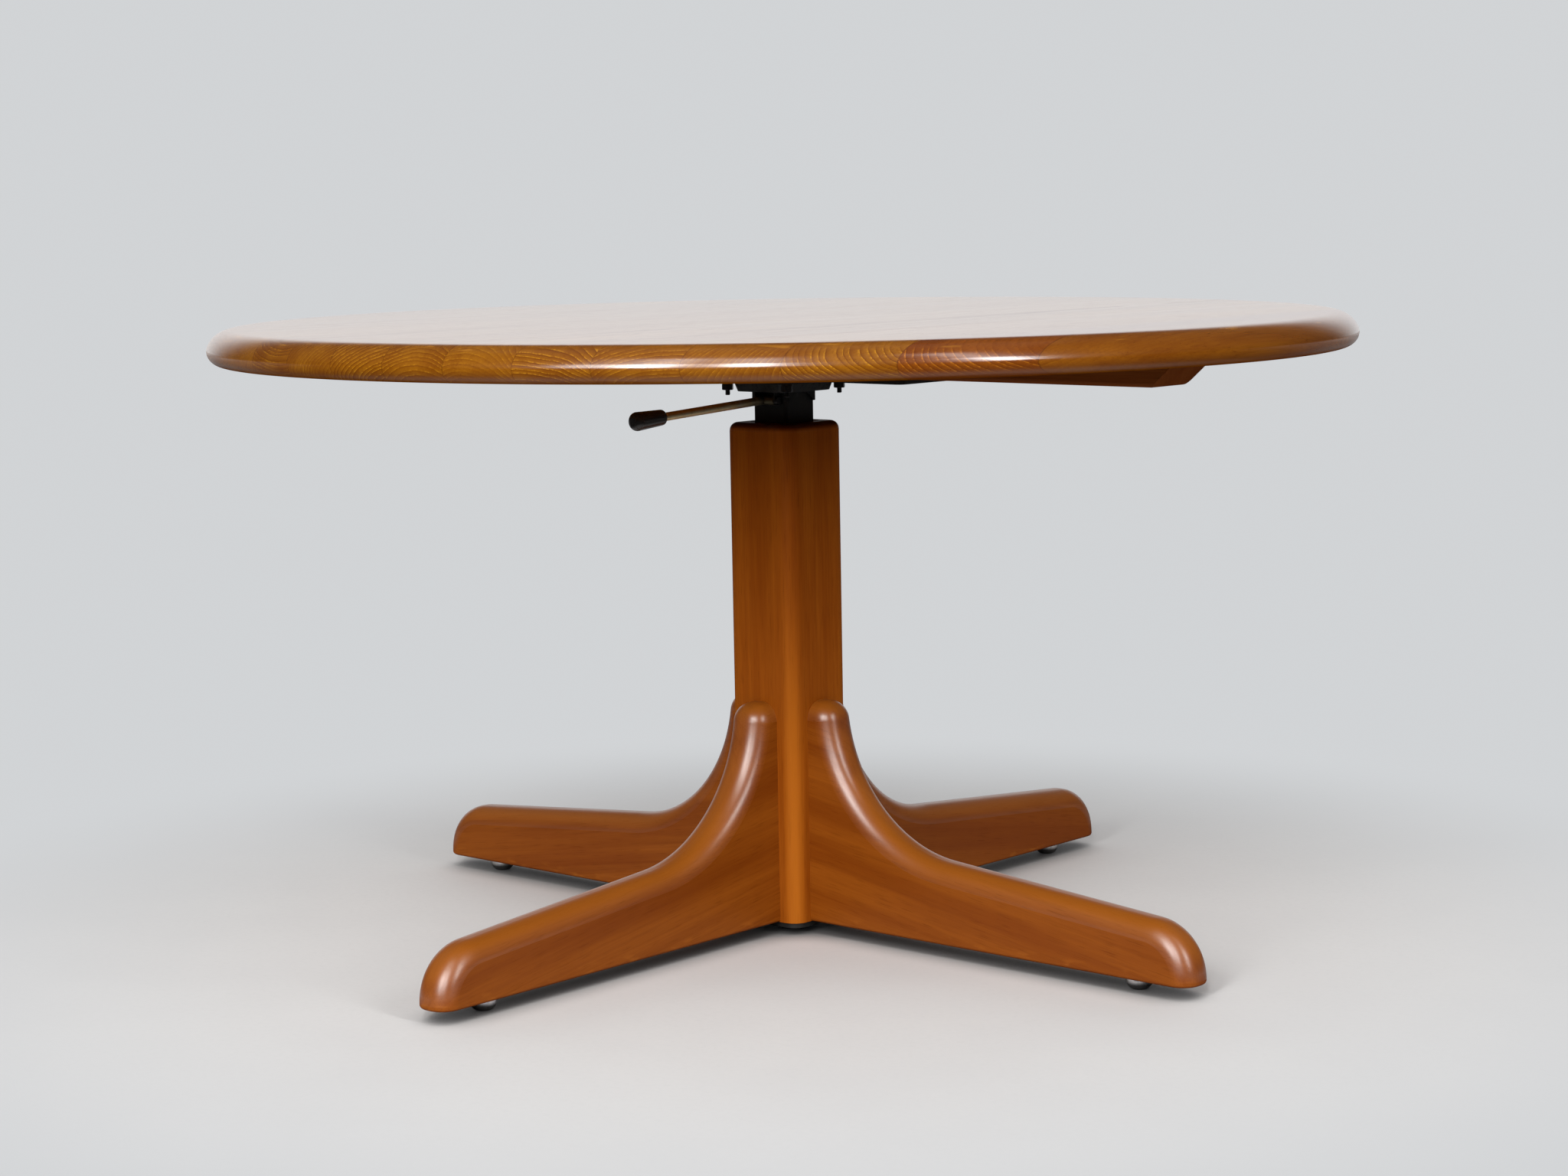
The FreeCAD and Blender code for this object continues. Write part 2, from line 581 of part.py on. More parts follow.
def make_lift_pan():
    """Pressed pan: a tapered tray with a flange above and a collar with arched sides below."""
    body = new_body("lift_pan", TUBE_TOP)
    flange_foot = "(Sizes.pan_depth - Sizes.pan_wall)"
    floor_width = "(Sizes.pan_mouth_width - 2 * Sizes.pan_draft)"
    floor = new_sketch(body, "floor", "XY_Plane")
    rounded_square(floor, floor_width, "Sizes.pan_corner")
    mouth = new_sketch(body, "mouth", "XY_Plane", z=flange_foot)
    rounded_square(mouth, "Sizes.pan_mouth_width", "Sizes.pan_corner")
    loft(body, "AdditiveLoft", [floor, mouth])
    flange = new_sketch(body, "flange", "XY_Plane", z=flange_foot)
    rounded_square(flange, FLANGE_WIDTH, "Sizes.pan_flange_corner")
    pad(body, flange, "Sizes.pan_wall")
    inner_corner = "(Sizes.pan_corner - Sizes.pan_wall)"
    inner_floor = new_sketch(body, "inner_floor", "XY_Plane", z="Sizes.pan_wall")
    rounded_square(inner_floor, f"({floor_width} - 2 * Sizes.pan_wall)", inner_corner)
    inner_mouth = new_sketch(body, "inner_mouth", "XY_Plane", z="Sizes.pan_depth")
    rounded_square(inner_mouth, "(Sizes.pan_mouth_width - 2 * Sizes.pan_wall)", inner_corner)
    loft(body, "SubtractiveLoft", [inner_floor, inner_mouth])
    service = new_sketch(body, "service_hole", "XY_Plane")
    circle(service, "Sizes.pan_service_hole")
    pocket(body, service, both_ways=True)
    collar = new_sketch(body, "collar", "XY_Plane")
    bore = "(Sizes.inner_tube_width + 2 * Sizes.fit_clearance)"
    bore_corner = "(Sizes.inner_tube_corner + Sizes.fit_clearance)"
    rounded_square(collar, f"({bore} + 2 * Sizes.collar_wall)", f"({bore_corner} + Sizes.collar_wall)")
    rounded_square(collar, bore, bore_corner)
    pad(body, collar, "Sizes.collar_depth", downward=True)
    for role in ("YZ_Plane", "XZ_Plane"):
        arch = new_sketch(body, f"arch_{role[:2]}", role)
        centre_height = "-(Sizes.collar_arch + Sizes.collar_land)"
        circle(arch, "(2 * Sizes.collar_arch)", "0", centre_height)
        pocket(body, arch, both_ways=True)
    front = new_sketch(body, "bracket_room", "XZ_Plane", z=TUBE_FACE)
    rectangle(
        front,
        "-(Sizes.bracket_left + Sizes.hole_clearance)",
        "(Sizes.bracket_right + Sizes.hole_clearance)",
        "-(Sizes.collar_depth + Sizes.collar_wall)",
        "0",
    )
    pocket(body, front, "(2 * Sizes.collar_wall)", along_normal=True)
    bolt_holes(body)


def make_pan_bolts():
    body = new_body("pan_bolts", BATTEN_UNDERSIDE)
    head = new_sketch(body, "head", "XY_Plane")
    hexagon(head, "Sizes.bolt_head_width", BOLT_OFFSET, BOLT_OFFSET)
    head_pad = pad(body, head, "Sizes.bolt_head_height")
    shank = new_sketch(body, "shank", "XY_Plane")
    circle(shank, "Sizes.bolt_diameter", BOLT_OFFSET, BOLT_OFFSET)
    grip = "Sizes.head_plate_thickness + Sizes.pan_wall + Sizes.washer_thickness"
    shank_pad = pad(body, shank, f"({grip} + Sizes.nut_height + Sizes.bolt_end)", downward=True)
    around(body, [head_pad, shank_pad], 4)

    washer_foot = f"({FLANGE_UNDERSIDE} - Sizes.washer_thickness)"
    washers = new_body("pan_washers", washer_foot)
    sketch = new_sketch(washers, "ring", "XY_Plane")
    circle(sketch, "Sizes.washer_diameter", BOLT_OFFSET, BOLT_OFFSET)
    circle(sketch, "(Sizes.bolt_diameter + 2 * Sizes.hole_clearance)", BOLT_OFFSET, BOLT_OFFSET)
    around(washers, [pad(washers, sketch, "Sizes.washer_thickness")], 4)

    nuts = new_body("pan_nuts", f"({washer_foot} - Sizes.nut_height)")
    sketch = new_sketch(nuts, "nut", "XY_Plane")
    hexagon(sketch, "Sizes.bolt_head_width", BOLT_OFFSET, BOLT_OFFSET)
    circle(sketch, "(Sizes.bolt_diameter + 2 * Sizes.fit_clearance)", BOLT_OFFSET, BOLT_OFFSET)
    around(nuts, [pad(nuts, sketch, "Sizes.nut_height")], 4)


def make_tubes():
    """The inner tube has a slot for the lever rod in the side that faces -Y, open upwards."""
    length = f"({TUBE_TOP} - {TUBE_FOOT})"
    inner = square_tube(
        "inner_tube",
        TUBE_FOOT,
        length,
        "Sizes.inner_tube_width",
        "Sizes.inner_tube_wall",
        "Sizes.inner_tube_corner",
    )
    slot = new_sketch(inner, "lever_slot", "XZ_Plane", z=f"({TUBE_FACE} + Sizes.inner_tube_wall)")
    slot_foot = f"({length} - Sizes.lever_pivot_drop - Sizes.lever_diameter / 2 - Sizes.slot_foot)"
    slot_straight = f"({slot_foot} + {SLOT_HALF})"
    above = f"({length} + {SLOT_HALF})"
    outline(
        slot,
        [
            (f"-{SLOT_HALF}", slot_straight, SLOT_HALF, 1),
            ("0", slot_foot, SLOT_HALF, 1),
            (SLOT_HALF, slot_straight),
            (SLOT_HALF, above),
            (f"-{SLOT_HALF}", above),
        ],
    )
    pocket(inner, slot, "(3 * Sizes.inner_tube_wall)")
    square_tube(
        "guide_tube",
        "Sizes.glide_height",
        f"({GUIDE_TOP} - Sizes.glide_height)",
        GUIDE_WIDTH,
        "Sizes.guide_tube_wall",
        "Sizes.guide_tube_corner",
    )


def make_bushes():
    """The upper bush hangs in the guide tube's mouth, the lower one caps the inner tube's end."""
    upper = new_body("upper_bush", GUIDE_TOP)
    bore = "(Sizes.inner_tube_width + 2 * Sizes.slide_clearance)"
    bore_corner = "(Sizes.inner_tube_corner + Sizes.slide_clearance)"
    flange = new_sketch(upper, "flange", "XY_Plane")
    rounded_square(flange, GUIDE_WIDTH, "Sizes.guide_tube_corner")
    pad(upper, flange, "Sizes.upper_bush_flange")
    sleeve = new_sketch(upper, "sleeve", "XY_Plane")
    sleeve_width = f"({GUIDE_BORE} - 2 * Sizes.fit_clearance)"
    rounded_square(sleeve, sleeve_width, "Sizes.guide_tube_wall")
    pad(upper, sleeve, "(Sizes.upper_bush_length - Sizes.upper_bush_flange)", downward=True)
    hole = new_sketch(upper, "hole", "XY_Plane")
    rounded_square(hole, bore, bore_corner)
    pocket(upper, hole, both_ways=True)

    lower = new_body("lower_bush", LOWER_BUSH_FOOT)
    outside = new_sketch(lower, "outside", "XY_Plane")
    rounded_square(outside, f"({GUIDE_BORE} - 2 * Sizes.slide_clearance)", "Sizes.guide_tube_wall")
    pad(lower, outside, "(Sizes.lower_bush_floor + Sizes.lower_bush_length)")
    inside = new_sketch(lower, "inside", "XY_Plane", z="Sizes.lower_bush_floor")
    tube_room = "(Sizes.inner_tube_width + 2 * Sizes.fit_clearance)"
    rounded_square(inside, tube_room, "(Sizes.inner_tube_corner + Sizes.fit_clearance)")
    pocket(lower, inside, "Sizes.lower_bush_length", along_normal=True)
    hole = new_sketch(lower, "hole", "XY_Plane")
    circle(hole, "(Sizes.cylinder_diameter + 2 * Sizes.hole_clearance)")
    pocket(lower, hole, both_ways=True)


def make_gas_spring():
    """Cylinder and valve ride with the top, rod and piston stand on the seat in the guide tube."""
    cylinder = new_body("gas_cylinder", CYLINDER_FOOT)
    outer = "(Sizes.cylinder_diameter / 2)"
    inner = f"({CYLINDER_BORE} / 2)"
    mouth = "(Sizes.cylinder_mouth / 2)"
    ceiling = "(Sizes.cylinder_length - Sizes.cylinder_wall)"
    turned(
        cylinder,
        "wall",
        [
            (mouth, "0"),
            (outer, "0"),
            (outer, "Sizes.cylinder_length"),
            (mouth, "Sizes.cylinder_length"),
            (mouth, ceiling),
            (inner, ceiling),
            (inner, "Sizes.cylinder_wall"),
            (mouth, "Sizes.cylinder_wall"),
        ],
    )
    snug = f"({CYLINDER_BORE} - 2 * Sizes.fit_clearance)"
    running_bore = "(Sizes.rod_diameter + 2 * Sizes.running_clearance)"
    ring("rod_guide", GUIDE_FOOT, "Sizes.rod_guide_height", snug, running_bore)
    ring("rod_seal", SEAL_FOOT, "Sizes.rod_seal_height", snug, running_bore)
    ring(
        "gas_piston",
        PISTON_FOOT,
        "Sizes.piston_height",
        f"({CYLINDER_BORE} - 2 * Sizes.running_clearance)",
        "(Sizes.rod_diameter + 2 * Sizes.fit_clearance)",
    )
    rod_foot = f"({SEAT_UNDERSIDE} - Sizes.rod_nut_height - Sizes.rod_tail)"
    rod = new_body("gas_rod", rod_foot)
    section = new_sketch(rod, "section", "XY_Plane")
    circle(section, "Sizes.rod_diameter")
    pad(rod, section, f"({PISTON_FOOT} + Sizes.piston_height - {rod_foot})")

    valve = new_body("valve_body", CYLINDER_TOP)
    pin_bore = "(Sizes.release_pin_diameter / 2 + Sizes.running_clearance)"
    neck = "(Sizes.valve_neck_diameter / 2)"
    shoulder = "-Sizes.cylinder_wall"
    turned(
        valve,
        "profile",
        [
            (pin_bore, f"({shoulder} - Sizes.valve_height)"),
            (f"({snug} / 2)", f"({shoulder} - Sizes.valve_height)"),
            (f"({snug} / 2)", shoulder),
            (neck, shoulder),
            (neck, "Sizes.valve_neck_length"),
            (pin_bore, "Sizes.valve_neck_length"),
        ],
    )
    make_nut(
        "valve_nut",
        BRIDGE_TOP,
        "Sizes.valve_nut_width",
        "Sizes.valve_nut_height",
        "Sizes.valve_neck_diameter",
    )
    make_release_pin()
    make_spring_mounts()


def make_nut(label, foot, width, height, thread):
    body = new_body(label, foot)
    sketch = new_sketch(body, "section", "XY_Plane")
    hexagon(sketch, width)
    circle(sketch, f"({thread} + 2 * Sizes.fit_clearance)")
    pad(body, sketch, height)
    return body


def make_release_pin():
    """The pin stands under the lever's finger, which slopes up from the pivot to the axis."""
    foot = f"({CYLINDER_TOP} + Sizes.valve_neck_length - Sizes.release_pin_sunk)"
    body = new_body("release_pin", foot)
    edge = f"({PIVOT_OUT} - Sizes.release_pin_diameter / 2)"
    half_rod = "(Sizes.lever_diameter / 2 / cos(Sizes.lever_droop))"
    under_rod = f"({edge} * tan(Sizes.lever_droop) - {half_rod})"
    length = f"({PIVOT_HEIGHT} + {under_rod} - Sizes.lever_gap - {foot})"
    radius = "(Sizes.release_pin_diameter / 2)"
    edge_round = "Sizes.release_pin_round"
    turned(
        body,
        "profile",
        [
            ("0", "0"),
            (f"({radius} - {edge_round})", "0", edge_round, 1),
            (radius, edge_round),
            (radius, f"({length} - {edge_round})", edge_round, 1),
            (f"({radius} - {edge_round})", length),
            ("0", length),
        ],
    )


def make_spring_mounts():
    """Bridge plate in the inner tube, seat in the guide tube and the two nuts of the rod."""
    rod = "Sizes.rod_diameter"
    neck = "Sizes.valve_neck_diameter"
    for label, foot, width, thickness, hole in (
        ("spring_bridge", CYLINDER_TOP, TUBE_BORE, "Sizes.bridge_thickness", neck),
        ("spring_seat", SEAT_UNDERSIDE, GUIDE_BORE, "Sizes.seat_thickness", rod),
    ):
        body = new_body(label, foot)
        sketch = new_sketch(body, "section", "XY_Plane")
        rounded_square(sketch, f"({width} - 2 * Sizes.fit_clearance)", "Sizes.bridge_corner")
        circle(sketch, f"({hole} + 2 * Sizes.fit_clearance)")
        pad(body, sketch, thickness)
    nuts = make_nut("rod_nuts", SEAT_TOP, "Sizes.rod_nut_width", "Sizes.rod_nut_height", rod)
    lower = new_sketch(nuts, "lower", "XY_Plane", z="-Sizes.seat_thickness")
    hexagon(lower, "Sizes.rod_nut_width")
    circle(lower, f"({rod} + 2 * Sizes.fit_clearance)")
    pad(nuts, lower, "Sizes.rod_nut_height", downward=True)


def make_lever():
    """Bracket and pin stay with the tube, rod and grip swing on the pin."""
    bracket = new_body("lever_bracket", f"({TUBE_TOP} - {BRACKET_HEIGHT})")
    left = "(-Sizes.bracket_left)"
    right = "Sizes.bracket_right"
    left_inside = f"({left} + Sizes.bracket_sheet)"
    right_inside = f"({right} - Sizes.bracket_sheet)"
    back = f"(-{TUBE_FACE})"
    web = f"({back} - Sizes.bracket_sheet)"
    ends = f"(-{PIVOT_OUT} - Sizes.bracket_ear)"
    channel = new_sketch(bracket, "channel", "XY_Plane")
    outline(
        channel,
        [
            (left, ends),
            (left_inside, ends),
            (left_inside, web),
            (right_inside, web),
            (right_inside, ends),
            (right, ends),
            (right, back),
            (left, back),
        ],
    )
    pad(bracket, channel, BRACKET_HEIGHT)
    rounded(
        bracket,
        "ear_corners",
        lambda edge: at_height(edge, 0) and edge.BoundBox.YMax < number(ends) + TOLERANCE,
        "Sizes.bracket_round",
    )
    pin_line = new_sketch(bracket, "pin_hole", "YZ_Plane")
    pin_hole = "(Sizes.lever_pin_diameter + 2 * Sizes.fit_clearance)"
    circle(pin_line, pin_hole, f"-{PIVOT_OUT}", "Sizes.bracket_ear")
    pocket(bracket, pin_line, both_ways=True)
    rod_room = new_sketch(bracket, "rod_room", "XZ_Plane", z=f"-({web})")
    rectangle(rod_room, f"-{SLOT_HALF}", SLOT_HALF, "0", f"(Sizes.bracket_ear + {SLOT_HALF})")
    pocket(bracket, rod_room, "Sizes.bracket_sheet")

    pin = new_body("lever_pin", PIVOT_HEIGHT)
    pin.setExpression("Placement.Base.y", f"-{PIVOT_OUT}")
    radius = "(Sizes.lever_pin_diameter / 2)"
    head_radius = "(Sizes.lever_pin_head_diameter / 2)"
    groove = "(Sizes.clip_groove / 2)"
    groove_start = f"({left} - Sizes.fit_clearance)"
    groove_end = f"({groove_start} - Sizes.clip_thickness - 2 * Sizes.fit_clearance)"
    pin_end = f"({left} - Sizes.lever_pin_tail)"
    turned(
        pin,
        "profile",
        [
            (pin_end, "0"),
            (f"({right} + Sizes.lever_pin_head)", "0"),
            (f"({right} + Sizes.lever_pin_head)", f"({head_radius} - Sizes.lever_pin_head / 2)"),
            (f"({right} + Sizes.lever_pin_head / 2)", head_radius),
            (right, head_radius),
            (right, radius),
            (groove_start, radius),
            (groove_start, groove),
            (groove_end, groove),
            (groove_end, radius),
            (pin_end, radius),
        ],
        axis="H_Axis",
    )
    clip = new_body("pin_clip", PIVOT_HEIGHT)
    clip.setExpression("Placement.Base.y", f"-{PIVOT_OUT}")
    washer = new_sketch(clip, "ring", "YZ_Plane", z=f"({groove_start} - Sizes.fit_clearance)")
    circle(washer, "Sizes.clip_diameter")
    circle(washer, "(Sizes.clip_groove + 2 * Sizes.fit_clearance)")
    pad(clip, washer, "Sizes.clip_thickness", downward=True)
    mouth = new_sketch(clip, "mouth", "YZ_Plane")
    mouth_half = "(Sizes.clip_mouth / 2)"
    rectangle(mouth, f"-{mouth_half}", mouth_half, "0", "Sizes.clip_diameter")
    pocket(clip, mouth, both_ways=True)

    arm = swinging_body("lever_arm")
    rod = "(Sizes.lever_diameter / 2)"
    finger = f"({PIVOT_OUT} + Sizes.lever_finger)"
    turned(
        arm,
        "rod",
        [
            ("-Sizes.lever_reach", "0"),
            (f"({finger} - {rod})", "0"),
            (finger, "0", rod, 1),
            (f"({finger} - {rod})", rod),
            ("-Sizes.lever_reach", rod),
        ],
        axis="H_Axis",
        role="YZ_Plane",
    )
    sleeve_start = f"({left_inside} + Sizes.hole_clearance)"
    sleeve = new_sketch(arm, "sleeve", "YZ_Plane", z=sleeve_start)
    circle(sleeve, "Sizes.lever_sleeve_diameter")
    pad(arm, sleeve, f"({right_inside} - Sizes.hole_clearance - {sleeve_start})")
    bore = new_sketch(arm, "bore", "YZ_Plane")
    circle(bore, "(Sizes.lever_pin_diameter + 2 * Sizes.running_clearance)")
    pocket(arm, bore, both_ways=True)

    grip = swinging_body("lever_grip")
    hole = f"({rod} + Sizes.fit_clearance)"
    inner_end = "(Sizes.grip_length - Sizes.grip_end - Sizes.lever_reach)"
    bore_end = "(-Sizes.lever_reach - Sizes.fit_clearance)"
    outer_end = f"({inner_end} - Sizes.grip_length)"
    big = "(Sizes.grip_diameter / 2)"
    small = "(Sizes.grip_neck_diameter / 2)"
    turned(
        grip,
        "profile",
        [
            (outer_end, "0"),
            (bore_end, "0"),
            (bore_end, hole),
            (inner_end, hole),
            (inner_end, f"({small} - Sizes.grip_neck_round)", "Sizes.grip_neck_round", 1),
            (f"({inner_end} - Sizes.grip_neck_round)", small),
            (f"({outer_end} + Sizes.grip_round)", big, "Sizes.grip_round", 1),
            (outer_end, f"({big} - Sizes.grip_round)"),
        ],
        axis="H_Axis",
        role="YZ_Plane",
    )


def swinging_body(label):
    """A body in the lever's own frame: the pivot is its origin and the rod lies along its Y axis."""
    body = new_body(label, PIVOT_HEIGHT)
    body.setExpression("Placement.Base.y", f"-{PIVOT_OUT}")
    body.Placement.Rotation = FreeCAD.Rotation(FreeCAD.Vector(1, 0, 0), number("Sizes.lever_droop"))
    body.setExpression("Placement.Rotation.Angle", "Sizes.lever_droop")
    return body


def make_column():
    body = new_body("column", "Sizes.glide_height")
    section = new_sketch(body, "section", "XY_Plane")
    rounded_square(section, "Sizes.column_width", "Sizes.column_corner")
    pad(body, section, "Sizes.column_height")
    height = number("Sizes.column_height")
    rounded(body, "top_edge", lambda edge: at_height(edge, height), "Sizes.column_top_round")
    bore = new_sketch(body, "bore", "XY_Plane")
    bore_width = f"({GUIDE_WIDTH} + 2 * Sizes.bore_clearance)"
    rounded_square(bore, bore_width, "(Sizes.guide_tube_corner + Sizes.bore_clearance)")
    pocket(body, bore, both_ways=True)
    dowel = new_sketch(body, "dowel_hole", "YZ_Plane", z=COLUMN_FACE)
    dowel_circles(dowel, "Sizes.fit_clearance")
    around(body, [pocket(body, dowel, f"({DOWEL_IN_COLUMN} + Sizes.fit_clearance)")], 4)
    below = "-Sizes.base_plate_thickness"
    screw_holes(body, "pilot", BASE_SCREWS, "Sizes.base_screw_length", below, 4)

    plate = new_body("base_plate", BASE_PLATE_FOOT)
    section = new_sketch(plate, "section", "XY_Plane")
    plate_width = "(Sizes.column_width - 2 * Sizes.base_plate_margin)"
    rounded_square(section, plate_width, "(Sizes.column_corner - Sizes.base_plate_margin)")
    circle(section, "Sizes.base_plate_hole")
    pad(plate, section, "Sizes.base_plate_thickness")
    screw_holes(plate, "sunk", BASE_SCREWS, "Sizes.base_screw_length", "0", 4)


def dowel_circles(sketch, room):
    for height in ("Sizes.dowel_low", "(Sizes.leg_height - Sizes.dowel_drop)"):
        circle(sketch, f"(Sizes.dowel_diameter + 2 * {room})", "0", height)


def make_dowels():
    body = new_body("leg_dowels", "Sizes.glide_height")
    sketch = new_sketch(body, "section", "YZ_Plane", z=f"({COLUMN_FACE} - {DOWEL_IN_COLUMN})")
    dowel_circles(sketch, "0")
    around(body, [pad(body, sketch, f"({DOWEL_IN_COLUMN} + Sizes.dowel_in_leg)")], 4)


def leg_outline(sketch):
    """Side view: sole, nose, sloping back, hollow sweep and round head, each run tangent to the next."""
    face = number(COLUMN_FACE)
    reach = number("Sizes.leg_reach")
    land = number("Sizes.leg_nose_land")
    height = number("Sizes.leg_height")
    nose = number("Sizes.leg_nose_radius")
    sweep = number("Sizes.leg_sweep_radius")
    dome = number("Sizes.leg_dome_radius")
    slope = math.radians(number("Sizes.leg_slope"))
    upright = FreeCAD.Vector(math.sin(slope), math.cos(slope), 0)
    inward = FreeCAD.Vector(-math.cos(slope), math.sin(slope), 0)
    nose_centre = FreeCAD.Vector(reach - nose, land, 0)
    dome_centre = FreeCAD.Vector(face + number("Sizes.leg_dome_setback"), height - dome, 0)
    # The sweep touches the sloping back and the head, so its centre is found on a line along the back.
    offset = nose_centre + upright * (nose + sweep) - dome_centre
    along = offset.dot(inward)
    run = -along - math.sqrt(along**2 - offset.Length**2 + (sweep + dome) ** 2)
    sweep_centre = dome_centre + offset + inward * run
    to_dome = (dome_centre - sweep_centre).normalize()
    points = [
        FreeCAD.Vector(face, 0, 0),
        FreeCAD.Vector(reach, 0, 0),
        FreeCAD.Vector(reach, land, 0),
        nose_centre + upright * nose,
        sweep_centre - upright * sweep,
        sweep_centre + to_dome * sweep,
        dome_centre + FreeCAD.Vector(0, dome, 0),
        FreeCAD.Vector(face, height, 0),
    ]
    sole = sketch.addGeometry(Part.LineSegment(points[0], points[1]), False)
    tip = sketch.addGeometry(Part.LineSegment(points[1], points[2]), False)
    nose_arc = sketch.addGeometry(arc_between(points[2], points[3], nose, 1), False)
    back = sketch.addGeometry(Part.LineSegment(points[3], points[4]), False)
    sweep_arc = sketch.addGeometry(arc_between(points[4], points[5], sweep, -1), False)
    dome_arc = sketch.addGeometry(arc_between(points[5], points[6], dome, 1), False)
    head = sketch.addGeometry(Part.LineSegment(points[6], points[7]), False)
    end = sketch.addGeometry(Part.LineSegment(points[7], points[0]), False)
    for first, second in ((sole, tip), (head, end), (end, sole)):
        sketch.addConstraint(Sketcher.Constraint("Coincident", first, 2, second, 1))
    for first, first_point, second, second_point in (
        (tip, 2, nose_arc, 1),
        (nose_arc, 2, back, 1),
        (back, 2, sweep_arc, 2),
        (sweep_arc, 1, dome_arc, 1),
        (dome_arc, 2, head, 1),
    ):
        sketch.addConstraint(Sketcher.Constraint("Tangent", first, first_point, second, second_point))
    for line in (sole, head):
        sketch.addConstraint(Sketcher.Constraint("Horizontal", line))
    for line in (tip, end):
        sketch.addConstraint(Sketcher.Constraint("Vertical", line))
    fix_point(sketch, sole, 1, COLUMN_FACE, "0")
    bind(sketch, Sketcher.Constraint("DistanceX", -1, 1, sole, 2, reach), "Sizes.leg_reach")
    bind(sketch, Sketcher.Constraint("DistanceY", -1, 1, tip, 2, land), "Sizes.leg_nose_land")
    bind(sketch, Sketcher.Constraint("DistanceY", -1, 1, head, 2, height), "Sizes.leg_height")
    setback = number("Sizes.leg_dome_setback")
    bind(sketch, Sketcher.Constraint("DistanceX", head, 2, head, 1, setback), "Sizes.leg_dome_setback")
    for arc, radius in ((nose_arc, "nose"), (sweep_arc, "sweep"), (dome_arc, "dome")):
        expression = f"Sizes.leg_{radius}_radius"
        bind(sketch, Sketcher.Constraint("Radius", arc, number(expression)), expression)
    bind(sketch, Sketcher.Constraint("Angle", -1, 1, back, 1, math.pi - slope), "180 - Sizes.leg_slope")


def make_leg(label, angle):
    body = new_body(label, "Sizes.glide_height")
    sketch = new_sketch(body, "side", "XZ_Plane")
    leg_outline(sketch)
    pad(body, sketch, "Sizes.leg_thickness", centred=True)
    half = number("Sizes.leg_thickness / 2")
    face = number(COLUMN_FACE)

    def on_upper_edge(edge):
        box = edge.BoundBox
        along_side = abs(abs(box.YMin) - half) < TOLERANCE and box.YMax - box.YMin < TOLERANCE
        return along_side and box.ZMax > TOLERANCE and box.XMax > face + TOLERANCE

    def on_sole(edge):
        return at_height(edge, 0) and edge.BoundBox.XMax > face + TOLERANCE

    rounded(body, "upper_edges", on_upper_edge, LEG_EDGE_ROUND)
    rounded(body, "sole_edges", on_sole, "Sizes.leg_sole_round")
    dowel = new_sketch(body, "dowel_hole", "YZ_Plane", z=COLUMN_FACE)
    dowel_circles(dowel, "Sizes.fit_clearance")
    pocket(body, dowel, "(Sizes.dowel_in_leg + Sizes.fit_clearance)", along_normal=True)
    nail = new_sketch(body, "nail_hole", "XY_Plane")
    circle(nail, "(Sizes.glide_nail_diameter + 2 * Sizes.fit_clearance)", GLIDE_OUT)
    pocket(body, nail, "(Sizes.glide_nail_length + Sizes.fit_clearance)", along_normal=True)
    body.Placement.Rotation = FreeCAD.Rotation(FreeCAD.Vector(0, 0, 1), angle)


def make_glide(label, angle):
    """A domed metal glide with its nail."""
    body = new_body(label)
    radius = "(Sizes.glide_diameter / 2)"
    face = "(Sizes.glide_face_diameter / 2)"
    rise = "(Sizes.glide_height - Sizes.glide_rim)"
    inset = f"({radius} - {face})"
    dome = f"(({inset}^2 + {rise}^2) / (2 * {inset}))"
    nail = "(Sizes.glide_nail_diameter / 2)"
    tip = "(Sizes.glide_height + Sizes.glide_nail_length)"
    turned(
        body,
        "profile",
        [
            ("0", "0"),
            (face, "0", dome, 1),
            (radius, rise),
            (radius, "Sizes.glide_height"),
            (nail, "Sizes.glide_height"),
            (nail, f"({tip} - Sizes.glide_nail_diameter)"),
            ("0", tip),
        ],
        x=GLIDE_OUT,
    )
    body.Placement.Rotation = FreeCAD.Rotation(FreeCAD.Vector(0, 0, 1), angle)


def check_and_write():
    """Refuse failed objects and bad shapes, then write each sub-part to its own file."""
    doc.recompute()
    for item in doc.Objects:
        if "Invalid" in item.State or "Error" in item.State:
            raise RuntimeError(f"{item.Label} failed: {item.State}")
    bodies = [item for item in doc.Objects if item.TypeId == "PartDesign::Body"]
    for body in bodies:
        if body.Shape.isNull() or not body.Shape.isValid():
            raise RuntimeError(f"{body.Label} has no valid shape")
    os.makedirs("parts", exist_ok=True)
    for body in bodies:
        body.Shape.exportStep(f"parts/{body.Label}.step")


make_table_top()
make_batten()
screws("batten_screws", BATTEN_UNDERSIDE, BATTEN_SCREWS, "Sizes.batten_screw_length", 2)
make_head_plate()
screws("plate_screws", PLATE_UNDERSIDE, PLATE_SCREWS, "Sizes.plate_screw_length", 2)
make_lift_pan()
make_pan_bolts()
make_tubes()
make_bushes()
make_gas_spring()
make_lever()
make_column()
screws("base_screws", BASE_PLATE_FOOT, BASE_SCREWS, "Sizes.base_screw_length", 4)
make_dowels()
for side, angle in (("right", 0), ("back", 90), ("left", 180), ("front", 270)):
    make_leg(f"leg_{side}", angle)
    make_glide(f"glide_{side}", angle)
check_and_write()
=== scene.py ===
import math

import bmesh
import bpy
from mathutils import Matrix, Vector


